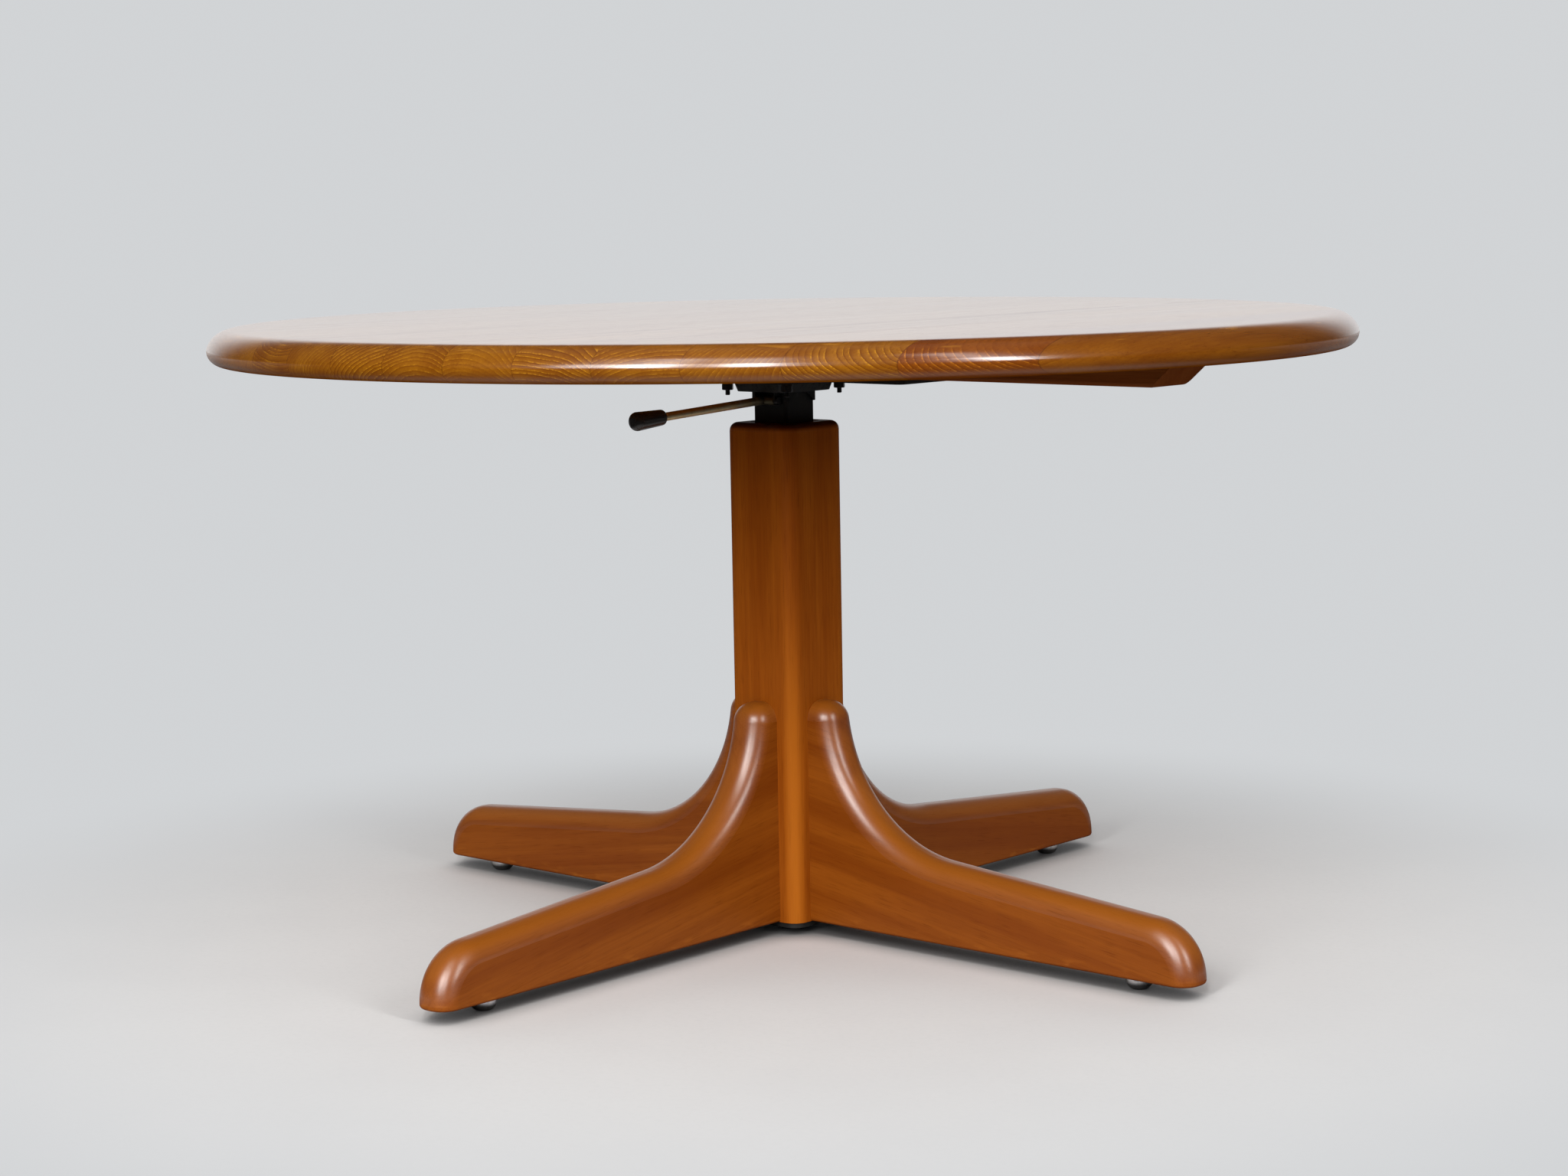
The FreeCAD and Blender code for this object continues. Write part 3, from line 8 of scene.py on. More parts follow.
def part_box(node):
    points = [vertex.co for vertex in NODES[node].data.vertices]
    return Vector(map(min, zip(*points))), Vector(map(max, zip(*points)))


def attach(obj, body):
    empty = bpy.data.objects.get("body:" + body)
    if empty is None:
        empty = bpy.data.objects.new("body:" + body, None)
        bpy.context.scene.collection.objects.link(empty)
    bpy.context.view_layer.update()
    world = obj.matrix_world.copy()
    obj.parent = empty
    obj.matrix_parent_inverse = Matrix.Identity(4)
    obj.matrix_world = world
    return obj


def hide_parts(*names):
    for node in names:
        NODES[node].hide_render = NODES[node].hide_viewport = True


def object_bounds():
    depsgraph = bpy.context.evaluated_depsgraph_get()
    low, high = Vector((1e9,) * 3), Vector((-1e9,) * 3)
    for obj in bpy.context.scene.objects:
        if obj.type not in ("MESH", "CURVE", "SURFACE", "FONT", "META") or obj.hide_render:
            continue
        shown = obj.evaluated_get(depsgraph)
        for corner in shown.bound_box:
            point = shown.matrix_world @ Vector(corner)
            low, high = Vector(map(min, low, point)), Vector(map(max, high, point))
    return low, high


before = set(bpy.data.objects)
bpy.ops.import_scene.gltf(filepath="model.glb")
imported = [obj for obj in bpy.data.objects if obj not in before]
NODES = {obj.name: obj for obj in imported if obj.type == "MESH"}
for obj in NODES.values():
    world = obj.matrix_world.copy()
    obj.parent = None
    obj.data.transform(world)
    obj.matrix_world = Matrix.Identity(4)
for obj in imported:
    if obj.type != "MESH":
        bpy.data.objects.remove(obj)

bl_info = {
    "name": "Telescoping Pedestal Table",
    "version": (1, 0, 0),
    "blender": (4, 5, 0),
    "location": "3D View > Sidebar > Pedestal Table",
    "description": "Finishes, fasteners and stage for a round table on a height-adjustable pedestal",
    "category": "Object",
}

CAD_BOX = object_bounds()
MM = 0.001


# Settings that a user would change

def colour_property(name, description, default, most=1.0):
    """A linear colour swatch."""
    return bpy.props.FloatVectorProperty(
        name=name, description=description, default=default, subtype="COLOR", size=3, min=0.0, max=most)


def length_property(name, description, default):
    """A length in metres."""
    return bpy.props.FloatProperty(
        name=name, description=description, default=default, subtype="DISTANCE", unit="LENGTH", min=0.0)


def power_property(name, description, default):
    """A lamp's power in watts."""
    return bpy.props.FloatProperty(
        name=name, description=description, default=default, subtype="POWER", unit="POWER", min=0.0)


class TeakSettings(bpy.types.PropertyGroup):
    """Colours and grain of the lacquered teak."""

    top_colour: colour_property("Top", "Teak of the table top", (0.171, 0.050, 0.0022))
    batten_colour: colour_property("Batten", "Teak of the batten under the top", (0.147, 0.040, 0.0075))
    column_colour: colour_property("Column", "Teak of the column", (0.235, 0.055, 0.0036))
    leg_colour: colour_property("Legs", "Teak of the legs", (0.185, 0.043, 0.0028))
    dowel_colour: colour_property("Dowels", "Beech of the leg dowels", (0.62, 0.43, 0.25))
    ring_spacing: length_property("Growth rings", "Usual width of one year's growth", 0.0042)
    ring_wander: length_property("Ring wander", "How far a growth ring strays from a true circle", 0.012)
    board_width: length_property("Board width", "Width of a board in the glued top", 0.0645)
    lacquer_roughness: bpy.props.FloatProperty(
        name="Lacquer roughness", description="0 is a mirror, 1 is matt", default=0.17, min=0.0, max=1.0,
        subtype="FACTOR")


class MetalSettings(bpy.types.PropertyGroup):
    """Colours of the metal and plastic pieces."""

    black_paint: colour_property(
        "Black paint", "Paint of the tubes and the head plate", (0.008, 0.0075, 0.007))
    grey_pressing: colour_property(
        "Grey pressing", "Dulled steel of the pan and bracket", (0.046, 0.044, 0.040))
    # Near-black steel standing in for painted shade under the top, on the pan's bolts, nuts, washers and
    # the lever pin.
    steel_darkened_as_shade: colour_property("Dark steel", "Blackened bolts, nuts and washers", (0.045, 0.042, 0.038))
    zinc: colour_property("Zinc", "Plating of screws and turned pieces", (0.45, 0.45, 0.44))
    yellow_zinc: colour_property("Yellow zinc", "Plating of the lever rod", (0.74, 0.66, 0.44))
    nickel: colour_property("Nickel", "Plating of the glides", (0.66, 0.63, 0.58))
    bright_rod: colour_property("Bright rod", "Ground steel of the spring's rod", (0.72, 0.72, 0.73))
    spring_enamel: colour_property("Spring enamel", "Enamel of the gas cylinder", (0.03, 0.031, 0.034))
    grip: colour_property("Grip", "Moulded plastic of the lever grip", (0.013, 0.012, 0.011))
    nylon: colour_property("Nylon", "Guide bushes and spring seat", (0.022, 0.022, 0.023))
    rubber: colour_property("Rubber", "Rod seal", (0.018, 0.018, 0.018))


class StageSettings(bpy.types.PropertyGroup):
    """Floor, background, lamps and camera."""

    floor_colour: colour_property("Floor", "Pale floor", (0.685, 0.671, 0.659))
    backdrop_colour: colour_property("Background", "Pale wall seen by the camera", (0.64, 0.655, 0.67))
    mirror_colour: colour_property(
        "Mirrored wall", "Wall above, as the polished top shows it", (1.13, 1.16, 1.18), 2.0)
    room_colour: colour_property("Room light", "Soft light from all around", (0.05, 0.05, 0.051))
    back_colour: colour_property("Back light", "Soft light from behind the table", (1.0, 1.0, 1.0))
    dim_colour: colour_property(
        "Dim side", "Room behind the camera, as gloss shows it", (0.03, 0.03, 0.03))
    lens: bpy.props.FloatProperty(
        name="Lens", description="Focal length on a 36 mm wide sensor, in millimetres", default=71.94,
        unit="CAMERA", min=10.0)
    ceiling_power: power_property("Ceiling lamp", "Power of the large soft lamp overhead", 2.0)
    outer_power: power_property("Outer lamp", "Power of the dim lamp beside the left one", 30.0)
    left_power: power_property("Left lamp", "Power of the soft lamp in front on the left", 116.0)
    middle_power: power_property("Middle lamp", "Power of the soft lamp beside the camera", 93.0)
    right_power: power_property("Right lamp", "Power of the soft lamp in front on the right", 80.0)


# Shader maths

# Numbers of the sockets of a Mix node that is set to colours
MIX_FACTOR = 0
MIX_FIRST = 6
MIX_SECOND = 7
MIX_RESULT = 2


class Socket:
    """An output of a finish's nodes; arithmetic on it adds Math or Vector Math nodes."""

    def __init__(self, finish, output):
        self.finish = finish
        self.output = output

    def join(self, operation, first, second):
        """One Math node, or a Vector Math node where this output is a vector."""
        kind = "ShaderNodeVectorMath" if self.output.type == "VECTOR" else "ShaderNodeMath"
        return self.finish.node(kind, {"operation": operation}, {0: first, 1: second})

    def __add__(self, other):
        return self.join("ADD", self, other)

    __radd__ = __add__

    def __sub__(self, other):
        return self.join("SUBTRACT", self, other)

    def __rsub__(self, other):
        return self.join("SUBTRACT", other, self)

    def __mul__(self, other):
        return self.join("MULTIPLY", self, other)

    __rmul__ = __mul__

    def __truediv__(self, other):
        return self.join("DIVIDE", self, other)

    def __pow__(self, other):
        return self.join("POWER", self, other)

    def __gt__(self, other):
        return self.join("GREATER_THAN", self, other)

    def sibling(self, name):
        """Another output of the same node."""
        return Socket(self.finish, self.output.node.outputs[name])


class Finish:
    """A material or world under construction."""

    def __init__(self, owner):
        self.owner = owner
        owner.use_nodes = True
        self.tree = owner.node_tree
        self.tree.nodes.clear()

    def node(self, kind, settings=None, sockets=None, out=0):
        """Add a node: its settings first, then the values or links of its sockets."""
        made = self.tree.nodes.new(kind)
        for name, value in (settings or {}).items():
            setattr(made, name, value)
        for key, value in (sockets or {}).items():
            if isinstance(value, Socket):
                self.tree.links.new(value.output, made.inputs[key])
            else:
                made.inputs[key].default_value = value
        return Socket(self, made.outputs[out]) if len(made.outputs) else None

    def place(self):
        """The point's place in the CAD frame, in metres."""
        return self.node("ShaderNodeTexCoord", out="Object")

    def parts(self, vector):
        """The X, Y and Z of a vector."""
        first = self.node("ShaderNodeSeparateXYZ", None, {0: vector}, "X")
        return first, first.sibling("Y"), first.sibling("Z")

    def point(self, x, y, z):
        """A vector from three values."""
        return self.node("ShaderNodeCombineXYZ", None, {"X": x, "Y": y, "Z": z})

    def noise(self, vector, detail=2.0, roughness=0.5):
        """Soft noise, 0 to 1, one cell to a unit of the vector."""
        return self.node("ShaderNodeTexNoise", None,
                         {"Vector": vector, "Scale": 1.0, "Detail": detail, "Roughness": roughness})

    def noise_along(self, value, detail=1.0):
        """Soft noise of one value."""
        return self.node("ShaderNodeTexNoise", {"noise_dimensions": "1D"},
                         {"W": value, "Scale": 1.0, "Detail": detail})

    def maths(self, operation, *values):
        """One Math node."""
        return self.node("ShaderNodeMath", {"operation": operation}, dict(enumerate(values)))

    def size_of(self, value):
        """The value without its sign."""
        return self.maths("ABSOLUTE", value)

    def sign_of(self, value):
        """-1, 0 or 1."""
        return self.maths("SIGN", value)

    def whole(self, value):
        """The whole number at or below the value."""
        return self.maths("FLOOR", value)

    def fraction(self, value):
        """What is left above the whole number."""
        return self.maths("FRACT", value)

    def larger(self, first, second):
        """The larger of two values."""
        return self.maths("MAXIMUM", first, second)

    def equal(self, first, second):
        """1 where two whole numbers are the same."""
        return self.maths("COMPARE", first, second, 0.5)

    def along(self, vector, direction):
        """How far a vector reaches in a direction."""
        return self.node(
            "ShaderNodeVectorMath", {"operation": "DOT_PRODUCT"}, {0: vector, 1: direction}, "Value")

    def facing(self):
        """The surface's direction, as X, Y and Z."""
        return self.parts(self.node("ShaderNodeTexCoord", out="Normal"))

    def ramp(self, value, low, high):
        """Smooth rise from 0 at low to 1 at high."""
        return self.node("ShaderNodeMapRange", {"interpolation_type": "SMOOTHSTEP"},
                         {"Value": value, "From Min": low, "From Max": high})

    def blend(self, mask, first, second, how="MIX"):
        """First colour where the mask is 0, second where it is 1."""
        first, second = (v if isinstance(v, Socket) else (*v, 1.0) for v in (first, second))
        return self.node("ShaderNodeMix", {"data_type": "RGBA", "blend_type": how},
                         {MIX_FACTOR: mask, MIX_FIRST: first, MIX_SECOND: second}, MIX_RESULT)

    def bump(self, height, strength, distance):
        """Surface direction tilted by a height."""
        return self.node("ShaderNodeBump", None,
                         {"Strength": strength, "Distance": distance, "Height": height})

    def close(self, **sockets):
        """Finish a material with one Principled surface; names have _ for spaces."""
        named = {key.replace("_", " "): value for key, value in sockets.items()}
        surface = self.node("ShaderNodeBsdfPrincipled", None, named)
        self.node("ShaderNodeOutputMaterial", None, {"Surface": surface})
        return self.owner


def new_finish(name):
    """A finish on a new material."""
    return Finish(bpy.data.materials.new(name))


def scaled(colour, *factors):
    """A colour with each channel multiplied, kept within 0 to 1."""
    factors = factors * 3 if len(factors) == 1 else factors
    return tuple(min(1.0, c * f) for c, f in zip(colour, factors))


def even(cells):
    """As many noise cells to a metre in all three directions."""
    return (cells, cells, cells)


# Wood finishes

class Figure:
    """How strongly one kind of sawn teak shows its rings, streaks and lacquer, its painted light on upward
    backs and corners, and its painted shade on upward ends.
    """

    def __init__(self, ring, pale_ring, streak, fibre, painted_light_share, coat, years=1.0, end=0.0, under=0.17):
        self.ring = ring
        self.pale_ring = pale_ring
        self.streak = streak
        self.fibre = fibre
        self.painted_light_share = painted_light_share
        self.coat = coat
        self.years = years
        self.end = end
        self.under = under


TOP_FIGURE = Figure(
    ring=0.95, pale_ring=0.9, streak=0.3, fibre=0.25, painted_light_share=0.0, coat=1.0, years=0.85, under=0.6)
# The column's end value is the share of painted shade on its upward top end.
COLUMN_FIGURE = Figure(
    ring=0.12, pale_ring=0.0, streak=0.2, fibre=0.25, painted_light_share=0.75, coat=0.3, years=0.7, end=0.9)
LEG_FIGURE = Figure(ring=0.2, pale_ring=0.0, streak=0.45, fibre=0.15, painted_light_share=0.7, coat=0.9, years=2.4)
BATTEN_FIGURE = Figure(ring=0.3, pale_ring=0.0, streak=0.3, fibre=0.3, painted_light_share=0.0, coat=0.2)

# Noise cells to a metre, across, along and through a board
DRIFT_CELLS = (11.0, 1.4, 11.0)
CLOUD_CELLS = (30.0, 2.0, 30.0)
STREAK_CELLS = (85.0, 1.1, 85.0)
FIBRE_CELLS = (700.0, 9.0, 700.0)
DASH_CELLS = (520.0, 60.0, 520.0)
PORE_CELLS = (1500.0, 34.0, 1500.0)
YEAR_CELLS = 90.0
YEAR_SPREAD = 1.4
RING_POWER = 2.6

# Shares of the wood's own red, green and blue
BODY_TINT = (0.9, 0.84, 0.8)
PALE_TINT = (1.25, 1.38, 1.6)
DARK_TINT = (0.60, 0.47, 0.38)
DEEP_TINT = (0.30, 0.20, 0.16)
FLECK_TINT = (2.1, 2.8, 3.2)
# Tint of the painted light on the legs' upward backs and the column's lower corners
PAINTED_LIGHT_TINT = (1.5, 1.85, 1.9)
WORN_TINT = (2.0, 2.7, 4.5)
YELLOW_BOARD_TINT = (1.16, 1.29, 0.95)
BROWN_BOARD_TINT = (0.89, 0.72, 0.66)

# Boards of the top: their numbers, their tones and how strongly each shows its rings
FIRST_JOINT = 0.643
FIRST_BOARD = 1395.0
BROWN_BOARD = 6.0
BOARD_TONE = 0.15
RIGHT_TONE = 0.48
SHOW_START = 0.66
SHOW_STEP = 0.663
SHOW_SPREAD = 0.75
SHOW_LEAST = 0.3

# Where the pieces were cut, in metres from the heart of the log and along it
TOP_MIDDLE = 0.584
LOG_SIDE = 0.17
LOG_NEAREST = 0.045
LOG_SPREAD = 0.08
LOG_STEP = 9.0
COLUMN_SIDE = 0.06
COLUMN_DEPTH = 0.09
BATTEN_SIDE = 0.05
BATTEN_DEPTH = 0.50
LEG_SIDE = 0.075
LEG_DEPTH = 0.10
LEG_SLOPE = 0.16
LEG_SIDE_STEP = 0.012
LEG_DEPTH_STEP = 0.02
LEG_LOG_STEP = 5.0

# A piece of one board: no tone, no joint, and rings at full strength
ONE_BOARD = (None, None, 1.0)


def glued_boards(finish, x, y, z, look):
    """Boards of the top side by side along Y, each cut from its own place in a log."""
    board = x / look.board_width - FIRST_JOINT
    number = finish.whole(board)
    cell = finish.node(
        "ShaderNodeTexWhiteNoise", {"noise_dimensions": "1D"}, {"W": number + FIRST_BOARD}, "Color")
    first = finish.node("ShaderNodeSeparateColor", None, {0: cell}, "Red")
    second, third = first.sibling("Green"), first.sibling("Blue")
    inside = finish.fraction(board) - 0.5
    lean = (third > 0.5) * 2.0 - 1.0
    across = inside * look.board_width + (first - 0.5) * LOG_SIDE
    depth = z - TOP_MIDDLE + lean * (second * LOG_SPREAD + LOG_NEAREST)
    joint = finish.ramp(finish.size_of(inside), 0.492, 0.498)
    brown = finish.equal(number, BROWN_BOARD)
    right = (number > BROWN_BOARD + 0.5) * RIGHT_TONE
    tone = finish.larger(finish.larger(second * BOARD_TONE, brown), right)
    show = finish.fraction(number * SHOW_STEP + SHOW_START) * SHOW_SPREAD + SHOW_LEAST
    return across, y + first * LOG_STEP, depth, tone, joint, show


def upright_block(finish, x, y, z, look):
    """The column, sawn with its grain upright."""
    return x + COLUMN_SIDE, z, y - COLUMN_DEPTH, *ONE_BOARD


def long_batten(finish, x, y, z, look):
    """The batten, sawn along X."""
    return y + BATTEN_SIDE, x, z - BATTEN_DEPTH, *ONE_BOARD


def leg_planks(finish, x, y, z, look):
    """Four planks that run out from the column, each from another place in the log."""
    size_x, size_y = finish.size_of(x), finish.size_of(y)
    on_x = size_x > size_y
    side = on_x * y + (1 - on_x) * x
    number = on_x * finish.sign_of(x) + (1 - on_x) * finish.sign_of(y) * 2.0
    along = finish.larger(size_x, size_y)
    across = side + LEG_SIDE + number * LEG_SIDE_STEP
    depth = z - LEG_DEPTH + along * LEG_SLOPE + number * LEG_DEPTH_STEP
    return across, along + number * LEG_LOG_STEP, depth, *ONE_BOARD


class Grain:
    """The solid grain of sawn teak, as values that change through the wood."""

    def __init__(self, finish, lay_out, figure, look):
        self.place = finish.place()
        self.x, self.y, self.z = finish.parts(self.place)
        across, along, depth, self.tone, self.joint, self.show = lay_out(
            finish, self.x, self.y, self.z, look)
        self.board = finish.point(across, along, depth)
        drift = finish.noise(self.board * DRIFT_CELLS, 5.0, 0.55)
        radius = (across * across + depth * depth) ** 0.5 + (drift - 0.5) * look.ring_wander
        spread = finish.noise_along(radius * YEAR_CELLS) * YEAR_SPREAD
        self.season = finish.fraction(radius / (look.ring_spacing * figure.years) + spread)
        self.ring = self.season ** RING_POWER * self.show
        self.cloud = finish.noise(self.board * CLOUD_CELLS, 4.0, 0.6)
        self.streak = finish.ramp(finish.noise(self.board * STREAK_CELLS, 3.0), 0.54, 0.76)
        self.fibre = finish.noise(self.board * FIBRE_CELLS, 2.0)
        self.pore = finish.ramp(finish.noise(self.board * PORE_CELLS, 1.0), 0.60, 0.74)


def painted_leg_top_light(finish, grain):
    """Painted light: the rounded backs of the legs made lighter and more amber where they face up."""
    return finish.ramp(finish.facing()[2], 0.05, 0.8)


def painted_corner_highlight(finish, grain):
    """Painted highlight along the lower corners of the column, fading out upward where the top shades it.
    """
    corner = finish.ramp(finish.size_of(grain.x) + finish.size_of(grain.y), 0.069, 0.0775)
    return corner * (1 - finish.ramp(grain.z, 0.16, 0.40))


def rim_wear(finish, grain):
    """Pale rubbed streaks along the upper edge of the rim."""
    edge = finish.ramp(grain.z, 0.592, 0.596) * (1 - finish.ramp(grain.z, 0.599, 0.5998))
    nick = finish.ramp(finish.noise(grain.place * (26.0, 26.0, 300.0), 3.0), 0.63, 0.70)
    return edge * nick * 0.6


def corner_wear(finish, grain):
    """Pale nicks along the upright corners of the column."""
    corner = finish.ramp(finish.size_of(grain.x) + finish.size_of(grain.y), 0.0745, 0.0785)
    nick = finish.ramp(finish.noise(grain.place * (160.0, 160.0, 90.0), 2.0), 0.69, 0.75)
    return corner * nick * 0.6


def sole_wear(finish, grain):
    """Scuffs along the lower edge of the legs."""
    low = 1 - finish.ramp(grain.z, 0.013, 0.026)
    scuff = finish.ramp(finish.noise(grain.place * (38.0, 38.0, 160.0), 4.0), 0.56, 0.70)
    return low * scuff * 0.3


def ringed_colour(finish, grain, figure, colour):
    """The wood's clouded colour with its growth rings, and with pale flecks on end grain."""
    dark = scaled(colour, *DARK_TINT)
    shade = finish.blend(
        finish.ramp(grain.cloud, 0.32, 0.68), scaled(colour, *BODY_TINT), scaled(colour, *PALE_TINT))
    if not figure.pale_ring:
        return finish.blend(grain.ring * figure.ring, shade, dark)
    end_grain = finish.ramp(finish.size_of(finish.facing()[1]), 0.34, 0.50)
    shade = finish.blend(grain.ring * (end_grain * 0.58 + 0.42) * figure.ring, shade, dark)
    fleck = 1 - finish.ramp(grain.season, 0.05, 0.3)
    dashes = finish.ramp(finish.noise(grain.board * DASH_CELLS, 3.0), 0.36, 0.60)
    spots = finish.ramp(finish.noise(grain.place * (38.0, 38.0, 60.0), 3.0), 0.34, 0.54)
    patch = finish.larger(spots, grain.tone)
    share = (grain.tone * figure.pale_ring + figure.pale_ring) * patch * grain.show
    return finish.blend(fleck * dashes * end_grain * share, shade, scaled(colour, *FLECK_TINT))


def lacquered_teak(name, colour, lay_out, figure, look, wear=None, polish=0.3, painted_light=None, index=1.75):
    """Teak under a clear coat: rings, dark streaks and open pores, all in one solid grain."""
    finish = new_finish(name)
    grain = Grain(finish, lay_out, figure, look)
    upward = finish.facing()[2]
    dark = scaled(colour, *DARK_TINT)
    deep = scaled(colour, *DEEP_TINT)
    shade = ringed_colour(finish, grain, figure, colour)
    shade = finish.blend(grain.streak * figure.streak, shade, dark)
    shade = finish.blend(finish.ramp(grain.fibre, 0.35, 0.75) * figure.fibre, shade, dark)
    shade = finish.blend(grain.pore * 0.4, shade, deep)
    if grain.tone is not None:
        tint = finish.blend(grain.tone, YELLOW_BOARD_TINT, BROWN_BOARD_TINT)
        shade = finish.blend(1.0, shade, tint, "MULTIPLY")
        shade = finish.blend(grain.joint * 0.45, shade, deep)
    # Painted light: a lighter, more amber tint where the mask marks lit backs and corners.
    if painted_light is not None:
        shade = finish.blend(painted_light(finish, grain) * figure.painted_light_share, shade, scaled(colour, *PAINTED_LIGHT_TINT))
    if wear is not None:
        shade = finish.blend(wear(finish, grain), shade, scaled(colour, *WORN_TINT))
    # Painted shade: faces turned downward are darkened.
    shade = finish.blend(finish.ramp(upward, -0.1, -0.8) * 0.5, shade, dark)
    # Painted shade: faces turning upward are darkened, used on the column's top end.
    if figure.end:
        shade = finish.blend(finish.ramp(upward, 0.2, 0.7) * figure.end, shade, deep)
    height = 1 - grain.pore * 0.7 - grain.ring * 0.2
    satin = grain.fibre * 0.05 + grain.cloud * 0.06 + grain.pore * 0.10 + look.lacquer_roughness
    gloss = (finish.ramp(upward, 0.0, 0.14) * (1.0 - figure.under)
             + finish.ramp(upward, -0.95, -0.6) * figure.under)
    coat = (1 - grain.pore * 0.2 - grain.ring * 0.08) * gloss * figure.coat
    return finish.close(
        Base_Color=shade, Roughness=satin, Normal=finish.bump(height, 0.07, 0.0002), Coat_Weight=coat,
        Coat_Roughness=polish, Coat_IOR=index, Specular_IOR_Level=0.0)


def beech(name, colour):
    """Pale beech with its short dark flecks."""
    finish = new_finish(name)
    place = finish.place()
    grain = finish.noise(place * even(420.0), 2.0)
    fleck = finish.ramp(finish.noise(place * (900.0, 300.0, 900.0), 1.0), 0.62, 0.70)
    shade = finish.blend(finish.ramp(grain, 0.3, 0.7), colour, scaled(colour, 0.82, 0.78, 0.72))
    shade = finish.blend(fleck * 0.6, shade, scaled(colour, 0.5, 0.42, 0.35))
    return finish.close(
        Base_Color=shade, Roughness=grain * 0.15 + 0.5, Normal=finish.bump(grain, 0.15, 0.0002))


# Metal and plastic finishes

BLUISH_TINT = (0.8, 0.85, 1.0)
YELLOWISH_TINT = (1.0, 0.9, 0.72)
GRIME_TINT = (0.28, 0.25, 0.22)
RUBBED_GREY = (0.10, 0.098, 0.094)


def glide_dirt_and_shade(finish, place):
    """The lower face of a glide, darkened as floor dirt and painted contact shade."""
    return 1 - finish.ramp(finish.parts(place)[2], 0.0045, 0.0085)


def painted_hub_shade(finish, place):
    """The lever's inner end, darkened near the pivot as painted shade."""
    return finish.ramp(finish.parts(place)[1], -0.042, -0.032)


def plated(name, colour, roughness, dull, tint=BLUISH_TINT, soil_and_shade=None):
    """Plated steel, mottled and dulled in patches, with fine rub marks, and darkened by an optional mask
    of dirt and painted shade.
    """
    finish = new_finish(name)
    place = finish.place()
    mottle = finish.noise(place * even(95.0), 4.0, 0.6)
    grime = finish.ramp(finish.noise(place * even(240.0), 3.0), 0.48, 0.72)
    rub = finish.noise(place * (1800.0, 1800.0, 260.0), 1.0)
    shade = finish.blend(finish.ramp(mottle, 0.3, 0.7), colour, scaled(colour, *tint))
    shade = finish.blend(grime * dull, shade, scaled(colour, *GRIME_TINT))
    # Optional mask: dirt and painted shade darken the metal here.
    if soil_and_shade is not None:
        soiled_and_shaded = soil_and_shade(finish, place)
        shade = finish.blend(soiled_and_shaded * 0.9, shade, scaled(colour, 0.05))
        grime = finish.larger(grime, soiled_and_shaded)
    rough = mottle * 0.18 + grime * (dull * 0.35) + rub * 0.08 + (roughness - 0.12)
    return finish.close(
        Base_Color=shade, Metallic=1 - grime * (dull * 0.4), Roughness=rough,
        Normal=finish.bump(rub * 0.4 + mottle * 0.6, 0.12, 0.0002))


def painted(name, colour, roughness):
    """Stoved paint with a fine orange-peel skin, rubbed grey in small places."""
    finish = new_finish(name)
    place = finish.place()
    skin = finish.noise(place * even(650.0), 2.0)
    patch = finish.noise(place * (45.0, 45.0, 30.0), 4.0, 0.6)
    rubbed = finish.ramp(finish.noise(place * (190.0, 190.0, 60.0), 3.0), 0.66, 0.74)
    shade = finish.blend(finish.ramp(patch, 0.3, 0.7), colour, scaled(colour, 1.7, 1.65, 1.6))
    shade = finish.blend(rubbed * 0.3, shade, RUBBED_GREY)
    rough = patch * 0.14 + skin * 0.08 + (roughness - 0.11)
    return finish.close(
        Base_Color=shade, Roughness=rough, Normal=finish.bump(skin, 0.18, 0.00015),
        Specular_IOR_Level=0.25)


def moulded(name, colour, roughness):
    """Moulded plastic or rubber with a fine grained skin and scuffs."""
    finish = new_finish(name)
    place = finish.place()
    skin = finish.noise(place * even(1100.0), 1.0)
    patch = finish.noise(place * even(70.0), 3.0)
    scuff = finish.ramp(finish.noise(place * (500.0, 90.0, 500.0), 2.0), 0.68, 0.78)
    shade = finish.blend(finish.ramp(patch, 0.3, 0.7), colour, scaled(colour, 1.6))
    shade = finish.blend(scuff * 0.2, shade, scaled(colour, 3.0))
    rough = patch * 0.06 + scuff * 0.12 + (roughness - 0.03)
    return finish.close(Base_Color=shade, Roughness=rough, Normal=finish.bump(skin, 0.06, 0.0001))


def dress(material, *names):
    """Give CAD nodes a finish."""
    for name in names:
        for slot in NODES[name].material_slots:
            slot.material = material


# Meshes of the top and the fasteners, in millimetres until they are linked

SEGMENTS = 48
SHARP_ANGLE = math.radians(32)
CORNERS = ((1, 1), (-1, 1), (-1, -1), (1, -1))

# Round top: points around it, and radius of its flat and of the disc at its middle
TOP_SEGMENTS = 360
FLAT_RADIUS = 510.0
INNER_RADIUS = 200.0

# Bolts and nuts of the lift pan: sizes, and heights above the floor
BOLT_OUT = 38.4
BOLT_WIDTH = 10.0
BOLT_RADIUS = 2.5
BOLT_PITCH = 0.8
BOLT_BEVEL = 0.6
BOLT_FACE = 549.0
BOLT_SEAT = 545.0
BOLT_THREAD = 536.0
BOLT_TIP = 525.4
NUT_HEAD = 536.4
NUT_FOOT = 530.4
NUT_BORE = 2.6
NUT_FLARE = 0.3
NUT_FLARE_DEPTH = 0.4
CHAMFER_STEPS = (0.0, 0.1, 0.22, 0.38, 0.6, 0.9)
CHAMFER_SLOPE = math.tan(math.radians(30))
CHAMFER_SHARE = 0.475

# Threads: steps to a turn, depth as a share of the pitch, and how blunt the crests and roots are
THREAD_STEPS = 10
THREAD_DEPTH = 0.61
CREST_GAIN = 1.3
CREST_SHIFT = 0.15

